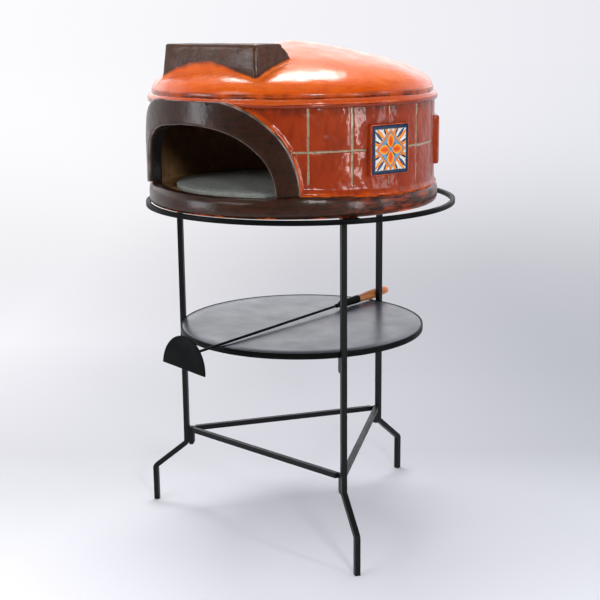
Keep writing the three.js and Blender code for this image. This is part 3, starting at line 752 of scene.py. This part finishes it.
def wall_section(azimuth, rows, rim):
    """(point, joint, fillet, inside) up the outside of the wall and down its inside."""
    signed = azimuth if azimuth <= 180 else azimuth - 360
    low = wall_cut(signed)
    foot = wall_foot(signed)
    for row in rows:
        height = max(row, low)
        point = drum(WALL_RADIUS, azimuth, height)
        wander = hand(point, 0.03, 0.0018, 9) + hand(point, 0.012, 0.0005, 19)
        upright, level = joint_distance(azimuth, height, wander)
        upright += 0.02 * smooth(foot + 0.02, foot + 0.01, height)
        near = min(upright, level)
        press = 1 - smooth(0.0012, 0.0031, near)
        pillow = 0.0005 * (1 - smooth(0.002, 0.012, near))
        flare = (1 - smooth(foot, foot + 0.014, height)) ** 1.5
        ridge = arch_ridge(signed, height, rim)
        swell = hand(point, 0.08, 0.0013) + hand(point, 0.022, 0.0006, 4)
        swell *= smooth(0.985, 0.975, height)
        radius = WALL_RADIUS + swell + FLARE * flare + RIDGE * ridge - pillow - 0.0017 * press
        joint = press * (1 - ridge) * (1 - 0.8 * flare)
        yield drum(radius, azimuth, height), joint, max(0.8 * ridge, 0.45 * flare), 0
    for part in (1.0, 0.75, 0.5, 0.25, 0.0):
        height = max(foot - 0.0002 + part * (rows[-1] - foot), low)
        yield drum(CAVITY_RADIUS + 0.0002, azimuth, height), 0, 0, 1


def make_wall(material):
    rows = wall_rows(WALL_TOP + 0.0005)
    rim = [arch_outline(pi * k / 160, ARCH_HALF_ANGLE, ARCH_RISE) for k in range(161)]
    rim = np.array([(radians(azimuth) * WALL_RADIUS, height) for azimuth, height in rim])
    columns = wall_columns(-WALL_START_LEFT, WALL_START_RIGHT)
    sections = [wall_section(azimuth, rows, rim) for azimuth in columns]
    piece = sweep("wall", sections, ("joint", "fillet", "inside"), "open")
    settle(piece, "oven", "clay_wall", material)


def dome_bead(azimuth, wave):
    """(radius, height, groove, under, inside) up the rolled bead, which folds in places."""
    split = 0.5 + hand(drum(BEAD_RADIUS, azimuth, BEAD_TOP), 0.06, 0.9, 7)
    foot = WALL_TOP + GAP
    yield 0.3142, foot, 0, 1, 0
    for part in (0.08, 0.2, 0.3, 0.36, 0.4, 0.44, 0.5, 0.58, 0.68, 0.78, 0.88, 0.97):
        height = foot + part * (BEAD_TOP - 0.0005 - WALL_TOP + wave)
        bulge = sin(pi * min(part * 0.93 + 0.05, 1.0)) ** 0.55
        fold = hump(part, 0.4, 0.07) * min(max(split, 0), 1)
        under = 1 - 0.72 * smooth(0.3, 0.55, part)
        yield 0.3138 + 0.0068 * bulge - 0.0022 * fold, height, 0.6 * fold, under, 0


def dome_profile(azimuth):
    """(radius, height, groove, under, inside) up the bead, over the crown and down the vault."""
    around = drum(BEAD_RADIUS, azimuth, BEAD_TOP)
    wave = hand(around, 0.05, 0.0016, 2) - RIM_DROP
    rim = BEAD_TOP + wave
    depth = 0.6 + hand(around, 0.03, 0.8, 12)
    yield from dome_bead(azimuth, wave)
    for radius, rise, groove in ((0.3137, 0.0006, 0.25), (0.3118, 0.0012, 0.8),
                                 (0.3106 - 0.0016 * depth, 0.002, 1), (0.3102 - 0.0014 * depth, 0.003, 0.9),
                                 (0.3106 - 0.0004 * depth, 0.0041, 0.45)):
        yield radius, rim + rise, groove, 0, 0
    steps = 44
    for step in range(1, steps + 1):
        radius = SHOULDER_RADIUS * cos(pi / 2 * step / steps) if step < steps else 0.0
        height = dome_height(radius)
        shade = 0.95 * (1 - smooth(0, 0.01, height - SHOULDER_HEIGHT))
        yield radius, height + wave * smooth(0.3, SHOULDER_RADIUS, radius), shade, 0, 0
    floor = WALL_TOP + GAP
    for step in range(13):
        turn = pi / 2 * step / 12
        height = floor + (APEX - DOME_THICKNESS - floor) * cos(turn)
        yield CAVITY_RADIUS * sin(turn), height, 0, 0, 1


def dome_section(azimuth):
    """(point, groove, under, inside) along the dome's profile, its crown raised by hand."""
    for radius, height, groove, under, inside in dome_profile(azimuth):
        if not inside and height > SHOULDER_HEIGHT + 0.004:
            height += crown_swell(radius, azimuth)
        yield drum(radius, azimuth, height), groove, under, inside


def make_dome(material):
    steps = 300
    sections = [dome_section(360 * step / steps) for step in range(steps)]
    piece = sweep("dome", sections, ("groove", "under", "inside"), sharp=50)
    open_flue(piece)
    settle(piece, "oven", "clay_dome", material)


def open_flue(piece):
    """Cuts the passage for smoke through the dome."""
    bm = bmesh.new()
    place = Matrix.Translation((0, OVEN_Y + (FLUE_FRONT + FLUE_BACK) / 2, HOOD_TOP))
    size = Matrix.Diagonal((2 * FLUE_HALF_WIDTH, FLUE_BACK - FLUE_FRONT, 0.24, 1))
    bmesh.ops.create_cube(bm, size=1, matrix=place @ size)
    mesh = bpy.data.meshes.new("flue_cutter")
    bm.to_mesh(mesh)
    bm.free()
    cutter = add_object("flue_cutter", mesh)
    cut = piece.modifiers.new("flue", "BOOLEAN")
    cut.operation = "DIFFERENCE"
    cut.object = cutter
    cut.solver = "EXACT"
    baked = bpy.data.meshes.new_from_object(piece.evaluated_get(bpy.context.evaluated_depsgraph_get()))
    piece.modifiers.clear()
    piece.data = baked
    bpy.data.objects.remove(cutter)


# (part of the way from the opening to the rim, radius) over the arch's face and round behind it
BEHIND = CAVITY_RADIUS + GAP
ARCH_FACE = [(0.006, BEHIND), (0, BEHIND + 0.0012), (0, 0.304), (0, 0.312), (0, 0.319), (0, 0.3228),
             (0.01, 0.3248), (0.03, 0.3261), (0.062, 0.3267), (0.13, 0.3269), (0.25, 0.327), (0.4, 0.327),
             (0.55, 0.327), (0.7, 0.327), (0.82, 0.3269), (0.9, 0.3265), (0.945, 0.3257), (0.975, 0.3244),
             (0.993, 0.3226), (1, 0.32), (1, 0.315), (1, 0.306), (1, BEHIND), (0.5, BEHIND)]


def arch_section(turn):
    """(point, edge, scuffed, dark, and a painted highlight along the edges) round the section of the arch.
    """
    inner = arch_outline(turn, OPENING_HALF_ANGLE, OPENING_RISE)
    outer = arch_outline(turn, ARCH_HALF_ANGLE, ARCH_RISE)
    for part, radius in ARCH_FACE:
        azimuth = inner[0] + (outer[0] - inner[0]) * part
        height = inner[1] + (outer[1] - inner[1]) * part
        point = drum(radius, azimuth, height)
        shift = hand(point, 0.05, 0.0011, 6) + hand(point, 0.015, 0.0003, 8)
        if radius > 0.32:
            radius = min(radius + shift - 0.0002, ARCH_RADIUS)
        azimuth += degrees(hand(point, 0.035, 0.0009, 15) / ARCH_RADIUS)
        highest = ARCH_TOP - (0.0022 if radius > 0.3262 else 0.0)
        height = min(height + hand(point, 0.035, 0.0009, 17), highest)
        # Painted highlight: a pale line along the arch's outer rounded edge and a fainter one along the
        # opening's edge, broken up by noise.
        highlight_breakup = 0.25 + 0.5 * smooth(-0.4, 0.5, hand(point, 0.02, 1.0, 31))
        lines = hump(part, 0.955, 0.017) + 0.55 * hump(part, 0.012, 0.012)
        yield (drum(radius, azimuth, max(height, base_height(azimuth) - 0.0006)),
               0.75 * smooth(0.965, 1.0, part) * (radius > 0.318), 0.03 * (radius > 0.324),
               smooth(0.324, 0.314, radius), highlight_breakup * lines * (radius > 0.322))


def make_arch(material):
    steps = 150
    sections = [arch_section(pi * step / steps) for step in range(steps + 1)]
    piece = sweep("arch", sections, ("edge", "scuffed", "dark", "edge_highlight"), "capped")
    settle(piece, "oven", "mouth_arch", material)


def hood_plan(height):
    """Front, back and half width of the hood at a height."""
    drop = max(HOOD_TOP - height, 0.0)
    front = HOOD_FRONT - 0.09 * drop
    back = HOOD_BACK + 0.038 * (1 - (1 - min(drop / 0.036, 1.0)) ** 2.7)
    return front, back, HOOD_HALF_WIDTH + 0.0015 + 0.065 * drop


def hood_ring(height, inset=0.0):
    """Points round the outside of the hood at a height, about the oven's axis."""
    front, back, half = hood_plan(height)
    return hood_points(front + inset, back - inset, half - inset, 0.009 - inset * 0.8)


def hood_points(front, back, half_width, corner):
    plan = rounded(half_width, (back - front) / 2, corner, 7, 14)
    return [(x + HOOD_X, y + (front + back) / 2) for x, y in plan]


def on_dome(x, y):
    """Height of the dome's surface, for a place about the oven's axis."""
    radius = hypot(x, y)
    return dome_height(radius) + crown_swell(radius, degrees(atan2(x, -y)))


def hood_feet():
    """Where the hood's walls meet the dome, as (place in the ring, height, outward direction)."""
    order = range(len(hood_ring(HOOD_TOP)))
    heights = [1.06 for _ in order]
    for _ in range(5):
        heights = [on_dome(*hood_ring(heights[k])[k]) for k in order]
    spots = [hood_ring(heights[k])[k] for k in order]
    feet = []
    for k in order:
        before, after = spots[k - 1], spots[(k + 1) % len(spots)]
        along = Vector((after[0] - before[0], after[1] - before[1], 0)).normalized()
        feet.append((k, heights[k], Vector((along.y, -along.x, 0))))
    return feet


def hood_orange(foot, up):
    """The dome's orange runs up the fillet, highest in the middle of the front."""
    k, height, away = foot
    middle = smooth(0.13, 0.03, abs(hood_ring(height)[k][0] + 0.03))
    share = 0.35 + 1.1 * max(-away.y, 0.0) * middle
    return 1 - smooth(0.002 * share, 0.019 * share, up)


def hood_side(foot, height, out, level=None):
    """A point of the hood's side, or of its fillet at a level over the dome."""
    k, start, away = foot
    x, y = hood_ring(height)[k]
    point = Vector((x, y, 0)) + away * out
    point.z = height if level is None else on_dome(point.x, point.y) + level
    uneven = hand(point, 0.045, 0.0012, 21) + hand(point, 0.014, 0.0003, 23) - 0.0006
    point += away * uneven * smooth(0, 0.02, point.z - start)
    return point + Vector((0, OVEN_Y, 0))


def hood_wall(feet, part):
    """(point, edge, dark) round the hood, part of the way up from its fillet."""
    for foot in feet:
        start = foot[1] + HOOD_CLIMB
        height = start + (HOOD_TOP - HOOD_ROUNDING - start) * part
        yield hood_side(foot, height, 0), hood_orange(foot, height - foot[1]), 0


def hood_rim(turn):
    """(point, edge, dark) round the hood's rounded rim."""
    inset, drop = HOOD_ROUNDING * (1 - cos(turn)), HOOD_ROUNDING * (1 - sin(turn))
    for x, y in hood_ring(HOOD_TOP - HOOD_ROUNDING, inset):
        point = Vector((x, y + OVEN_Y, HOOD_TOP - drop))
        point.z = min(point.z + hand(point, 0.05, 0.0009, 25) - 0.0003, HOOD_TOP)
        yield point, 0, 0


def make_hood(material):
    """Walls that run out into the dome in a wide fillet, a rounded rim and an open middle."""
    feet = hood_feet()
    rows = [[(hood_side(foot, foot[1], HOOD_REACH + 0.004, -0.005), 1, 0) for foot in feet]]
    for step in range(9):
        part = step / 8
        out, up = HOOD_REACH * (1 - part) ** 2, HOOD_CLIMB * part ** 2
        level = up - 0.0004 * (1 - part)
        sides = (hood_side(foot, foot[1] + up, out, level) for foot in feet)
        rows.append([(point, hood_orange(foot, up), 0) for foot, point in zip(feet, sides)])
    rows += [hood_wall(feet, part) for part in (0.05, 0.12, 0.22, 0.34, 0.48, 0.62, 0.76, 0.88, 1.0)]
    rows += [hood_rim(radians(turn)) for turn in (22, 45, 68, 90)]
    flue = hood_points(FLUE_FRONT, FLUE_BACK, FLUE_HALF_WIDTH, 0.006)
    for depth in (0.006, 0.02):
        rows.append([(Vector((x, y + OVEN_Y, HOOD_TOP - depth)), 0, 0.7) for x, y in flue])
    rows.append([(Vector((x, y + OVEN_Y, on_dome(x, y) - 0.004)), 0, 0.7) for x, y in flue])
    piece = sweep("hood", rows, ("edge", "dark"), sharp=55)
    settle(piece, "oven", "smoke_hood", material)


def make_stone(material):
    low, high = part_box("baking_stone")
    radius = (high.x - low.x) / 2
    thick = high.z - low.z
    profile = [(0, 0), (radius - 0.002, 0), (radius - 0.0006, 0.0006), (radius, 0.002),
               (radius, thick * 0.5), (radius, thick - 0.0022), (radius - 0.0006, thick - 0.0008),
               (radius - 0.002, thick), (radius * 0.8, thick), (radius * 0.5, thick), (0, thick)]
    middle = Vector(((low.x + high.x) / 2, (low.y + high.y) / 2, low.z))
    piece = turned("stone", profile, 160, Matrix.Translation(middle))
    settle(piece, "oven", "baking_stone", material)


def facing(azimuth):
    """A frame at a tile's centre on the oven's axis, with X across, Y into the oven and Z up."""
    return Matrix.Translation((0, OVEN_Y, TILE_HEIGHT)) @ spin(azimuth, "Z")


def boss_ring(place, half, radius, corner, orange):
    """(point, fillet) round a boss, sunk no deeper than just into the wall."""
    for x, z in rounded(half, half, corner, 5, 16):
        out = max(radius, sqrt(WALL_RADIUS ** 2 - x * x) - 0.0018)
        wander = hand(place @ Vector((x, -out, z)), 0.03, 0.0007, 31)
        scale = 1 + wander / half if half > 0.0515 else 1
        yield place @ Vector((x * scale, -out, z * scale)), orange


def make_boss(number, azimuth, material):
    """A raised square of clay with a rounded brim and a seat for its tile."""
    half, inner, face = BOSS_SIDE / 2, TILE_SIDE / 2 + 0.0002, BOSS_FACE_RADIUS
    rings = ((half + 0.0002, 0, 0.004, 0), (half - 0.0002, WALL_RADIUS + 0.002, 0.004, 0),
             (half - 0.0004, WALL_RADIUS + 0.0036, 0.004, 0), (half - 0.0007, face - 0.0016, 0.004, 0.05),
             (half - 0.0014, face - 0.0005, 0.004, 0.4), (half - 0.0024, face, 0.0035, 0.6),
             (inner + 0.0004, face - 0.0002, 0.0022, 0.3), (inner, face - 0.002, 0.002, 0),
             (inner, face - 0.0043, 0.002, 0))
    rows = [boss_ring(facing(azimuth), *ring) for ring in rings]
    piece = sweep(f"boss_{number}", rows, ("fillet",), "capped")
    settle(piece, "oven", f"tile_boss_{number}", material)


# ---- Tiles ----
def within(distance):
    """1 inside an outline and 0 outside, from the distance inwards in mm."""
    return np.clip(distance / 0.5, 0, 1)


def leaf(u, v, angle, start, end, half, offset=0.0):
    """1 inside a pointed leaf along a direction from the middle, 0 outside."""
    c, s = cos(radians(angle)), sin(radians(angle))
    along = u * c + v * s
    across = v * c - u * s - offset
    middle, reach = (start + end) / 2, (end - start) / 2
    width = half * np.clip(1 - ((along - middle) / reach) ** 2, 0, 1) ** 0.8
    return within(width - np.abs(across) + 0.25) * (width > 0)


def dot(u, v, radius, angle, size):
    x, y = radius * cos(radians(angle)), radius * sin(radians(angle))
    return within(size - np.hypot(u - x, v - y) + 0.25)


def tile_paint(u, v):
    """Colour and relief of a generic rosette tile, for places in mm from its middle."""
    navy, white = rgb(24, 48, 76), rgb(218, 220, 214)
    orange, yellow, red = rgb(236, 108, 8), rgb(244, 164, 26), rgb(228, 70, 6)
    sky, blue, ink = rgb(102, 156, 184), rgb(56, 96, 146), rgb(16, 22, 48)
    colour = np.ones(u.shape + (3,)) * np.array(white[:3])
    relief = np.zeros(u.shape)

    def brush(mask, tint, lift=0.0):
        nonlocal colour, relief
        colour = colour * (1 - mask[..., None]) + np.array(tint[:3]) * mask[..., None]
        relief = np.maximum(relief * (1 - mask), mask * lift)

    for quarter in (45, 135, 225, 315):
        for start, end, half, offset, tint in (
                (27, 57, 3.1, 3.2, ink), (30, 53, 1.2, 3.2, blue),
                (27, 57, 3.4, -2.9, orange), (30, 53, 1.5, -2.9, yellow)):
            brush(leaf(u, v, quarter, start, end, half, offset), tint, 0.25)
        for side in (1, -1):
            brush(leaf(u, v, quarter + 21 * side, 30, 50, 2), ink, 0.25)
            brush(leaf(u, v, quarter + 28 * side, 31, 50, 2.9), orange, 0.25)
            brush(leaf(u, v, quarter + 28 * side, 34, 47, 1.2), yellow, 0.25)
        for turn, tint in ((14, orange), (-14, orange), (36, ink), (-36, ink)):
            brush(dot(u, v, 50 - 0.1 * abs(turn), quarter + turn, 1.7), tint, 0.25)
    diamond = np.abs(u) + np.abs(v)
    for reach, tint, lift in ((42.0, ink, 0.2), (41.0, orange, 0.3)):
        brush(within(reach - diamond), tint, lift)
    brush(within(diamond - 37.15) * within(39.45 - diamond), yellow, 0.3)
    for reach, tint in ((36.4, blue), (34.6, sky)):
        brush(within(reach - diamond), tint)
    for quarter in (45, 135, 225, 315):
        brush(leaf(u, v, quarter, 3, 20, 1.3), ink, 0.25)
        brush(leaf(u, v, quarter + 14, 7, 19.5, 1.5), orange, 0.25)
    for quarter in (0, 90, 180, 270):
        for start, end, half, tint, lift in (
                (3.0, 32.0, 9.6, yellow, 0.3), (4.5, 28.0, 6.6, orange, 0.35), (7.0, 24.0, 3.2, red, 0.35)):
            brush(leaf(u, v, quarter, start, end, half), tint, lift)
    for reach, tint in ((5.0, sky), (1.8, blue)):
        brush(within(reach - np.hypot(u, v)), tint, 0.3)
    brush(within(np.maximum(np.abs(u), np.abs(v)) - 41.35), navy, 0.3)
    return colour, relief


def tile_face(u, v, relief):
    """Depth of a tile's face behind the oven's axis, in metres: pillowed, wavy and raised by its paint."""
    inset = 1000 * TILE_SIDE / 2 - np.maximum(np.abs(u), np.abs(v))
    pillow = 1.1 * np.clip(1 - inset / 2.2, 0, 1) ** 2
    wave = 0.12 * np.sin(u / 17.0 + 1.0) * np.cos(v / 21.0) * np.clip(inset / 6, 0, 1)
    return TILE_FACE_RADIUS + (relief * 0.5 - 0.47 - pillow + wave) / 1000


def tile_mesh(material):
    half = 1000 * TILE_SIDE / 2
    count = 170
    line = np.linspace(-half, half, count + 1)
    u, v = np.meshgrid(line, line, indexing="ij")
    colour, relief = tile_paint(u, v)
    points = np.stack([u / 1000, -tile_face(u, v, relief), v / 1000], -1).reshape(-1, 3).tolist()
    paints = np.concatenate([colour, np.ones(u.shape + (1,))], -1).reshape(-1, 4).tolist()
    index = np.arange((count + 1) ** 2).reshape(count + 1, count + 1)
    corners = [index[:-1, :-1], index[1:, :-1], index[1:, 1:], index[:-1, 1:]]
    faces = np.stack(corners, -1).reshape(-1, 4).tolist()
    border = [*index[:, 0], *index[-1, 1:], *index[-2::-1, -1], *index[0, -2:0:-1]]
    start, around = len(points), len(border)
    for k, at in enumerate(border):
        ahead = (k + 1) % around
        points.append((points[at][0], TILE_THICKNESS - TILE_FACE_RADIUS, points[at][2]))
        paints.append((0.35, 0.12, 0.06, 1.0))
        faces.append((int(border[ahead]), int(at), start + k, start + ahead))
    faces.append(tuple(start + k for k in range(around)))
    mesh = bpy.data.meshes.new("painted_tile")
    mesh.from_pydata(points, [], faces)
    paint = mesh.attributes.new("paint", "FLOAT_COLOR", "POINT")
    paint.data.foreach_set("color", [level for row in paints for level in row])
    finish_mesh(mesh, 45)
    mesh.materials.append(material)
    return mesh


def make_tiles(clay, glaze):
    mesh = tile_mesh(glaze)
    for index, azimuth in enumerate(TILE_AZIMUTHS):
        number = index + 1
        make_boss(number, azimuth, clay)
        tile = add_object(f"tile_{number}", mesh)
        tile.matrix_world = facing(azimuth) @ spin(90 * (index % 4), "Y")
        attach(tile, "oven")
        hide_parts(f"painted_tile_{number}")


# ---- Stand ----
def bar_ring(low, high, width, edge):
    """Section of a flat or square ring with rounded edges, from the ring's box."""
    inner, outer, bottom, top = high.x - width, high.x, low.z, high.z
    near = edge * 0.3
    return [(inner + edge, bottom), (outer - edge, bottom), (outer - near, bottom + near),
            (outer, bottom + edge), (outer, top - edge), (outer - near, top - near),
            (outer - edge, top), (inner + edge, top), (inner + near, top - near),
            (inner, top - edge), (inner, bottom + edge), (inner + near, bottom + near)]


def make_stand(steel, bars, shelf):
    for name, node, width, edge in (("ring", "top_ring", RING_BAR, 0.0009),
                                    ("hoop", "shelf_hoop", HOOP_BAR, 0.0006)):
        piece = turned(name, bar_ring(*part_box(node), width, edge), 240, sharp=50)
        settle(piece, "stand", node, steel)
    low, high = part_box("shelf_plate")
    radius, top = high.x, high.z
    profile = [(0, low.z), (radius - 0.0006, low.z), (radius, low.z + 0.0006), (radius, top - 0.0006),
               (radius - 0.0002, top - 0.0002), (radius - 0.0006, top), (radius * 0.9, top),
               (radius * 0.6, top), (radius * 0.3, top), (0, top)]
    piece = turned("shelf", profile, 240, sharp=50)
    settle(piece, "stand", "shelf_plate", shelf)
    for number in (1, 2, 3):
        for kind in ("leg", "arm", "shelf_lug", "tie_lug", "top_bar", "tie_bar"):
            dress(f"{kind}_{number}", bars, 0.001)
        for kind in ("top_screw", "shelf_screw", "tie_screw"):
            dress(f"{kind}_{number}", bars, 0.0002)


# ---- Rake ----
def rake_frame():
    """The rake's own frame: X across, Y up, Z along the rod, origin where it crosses the hoop."""
    upright = spin(90, "Z") @ spin(90, "X")
    aim = spin(RAKE_HEADING, "Z") @ spin(-RAKE_RISE, "Y") @ upright @ spin(RAKE_ROLL, "Z")
    return spin(STAND_TURN, "Z") @ Matrix.Translation(RAKE_CROSSING) @ aim


def make_blade(place, steel):
    """Half an oval, cut straight below the rod."""
    half, height, below, thick, edge = 0.061, 0.073, 0.0285, 0.003, 0.0006
    steps = 72
    turns = [pi * step / steps for step in range(steps + 1)]
    outline = [(half * cos(turn), height * sin(turn) - below) for turn in turns]
    outline += [(-half + 2 * half * k / 24, -below) for k in range(1, 24)]
    middle = Vector((0, 0.35 * height - below))
    loops = []
    for inset, depth in ((edge, 0), (0.3 * edge, 0.3 * edge), (0, edge), (0, thick - edge),
                         (0.3 * edge, thick - 0.3 * edge), (edge, thick)):
        loop = []
        for x, y in outline:
            towards = (middle - Vector((x, y))).normalized() * inset
            loop.append(place @ Vector((x + towards.x, y + towards.y, BLADE_AT - thick + depth)))
        loops.append(loop)
    piece = build("blade", loops, "capped", sharp=40)
    settle(piece, "rake", "rake_blade", steel)


def make_rod(place, steel):
    """A rod with a weld at the blade and a collar before the ferrule."""
    rod = [(0, BLADE_AT + GAP), (0.0046, BLADE_AT + GAP), (0.0043, -0.103), (0.0034, -0.1014),
           (0.003, -0.1), (0.003, 0.1), (0.003, 0.3), (0.003, 0.4155), (0.0044, 0.4162), (0.005, 0.4175),
           (0.005, 0.4255), (0.0044, 0.4268), (0.003, 0.4274), (0.003, FERRULE_AT - GAP),
           (0, FERRULE_AT - GAP)]
    piece = turned("rod", rod, 32, place)
    settle(piece, "rake", "rake_rod", steel)


def make_ferrule(place, steel):
    ferrule = [(0, FERRULE_AT), (0.005, FERRULE_AT), (0.0062, 0.4316), (0.0074, 0.433), (0.0084, 0.4352),
               (0.0088, 0.44), (0.0091, 0.455), (0.0096, 0.48), (0.0099, 0.499), (0.01, 0.502),
               (0.01, 0.504), (0.0097, HANDLE_AT - GAP), (0, HANDLE_AT - GAP)]
    piece = turned("ferrule", ferrule, 48, place)
    settle(piece, "rake", "rake_ferrule", steel)


def make_handle(place, wood):
    """Turned wood, swelling in the middle, with a worn butt."""
    shape = [(0, 0), (0.0092, 0), (0.00955, 0.0004), (0.0096, 0.0012), (0.0093, 0.006), (0.0092, 0.012),
             (0.0097, 0.024), (0.0106, 0.036), (0.0115, 0.048), (0.012, 0.06), (0.0119, 0.072),
             (0.0114, 0.084), (0.0107, 0.096), (0.01, 0.106), (0.0097, 0.112), (0.0094, 0.117),
             (0.0086, 0.1205), (0.007, 0.1232), (0.0044, 0.1245), (0, 0.125)]
    profile = [(radius, HANDLE_AT + along) for radius, along in shape]
    butt = [smooth(0.104, 0.112, along) for _, along in shape]
    piece = turned("handle", profile, 48, place, masks={"butt": butt})
    settle(piece, "rake", "rake_handle", wood)


def make_rake(steel, blade_steel, wood):
    place = rake_frame()
    make_blade(place, blade_steel)
    make_rod(place, steel)
    make_ferrule(place, steel)
    make_handle(place, wood)


def main():
    make_camera()
    make_studio()
    make_floor()
    red = red_clay()
    brown = brown_clay()
    make_base(brown)
    make_wall(red)
    make_dome(orange_glaze())
    make_arch(brown)
    make_hood(brown_clay("hood_clay", 0.14, 0.3, 2.2))
    make_stone(grey_stone())
    make_tiles(red, painted_tile())
    steel = black_steel()
    make_stand(steel, black_steel("bar_steel", 0.7, 0.32, 0.14), shelf_steel())
    make_rake(steel, black_steel("blade_steel", 0.8, 0.5), turned_wood())


main()
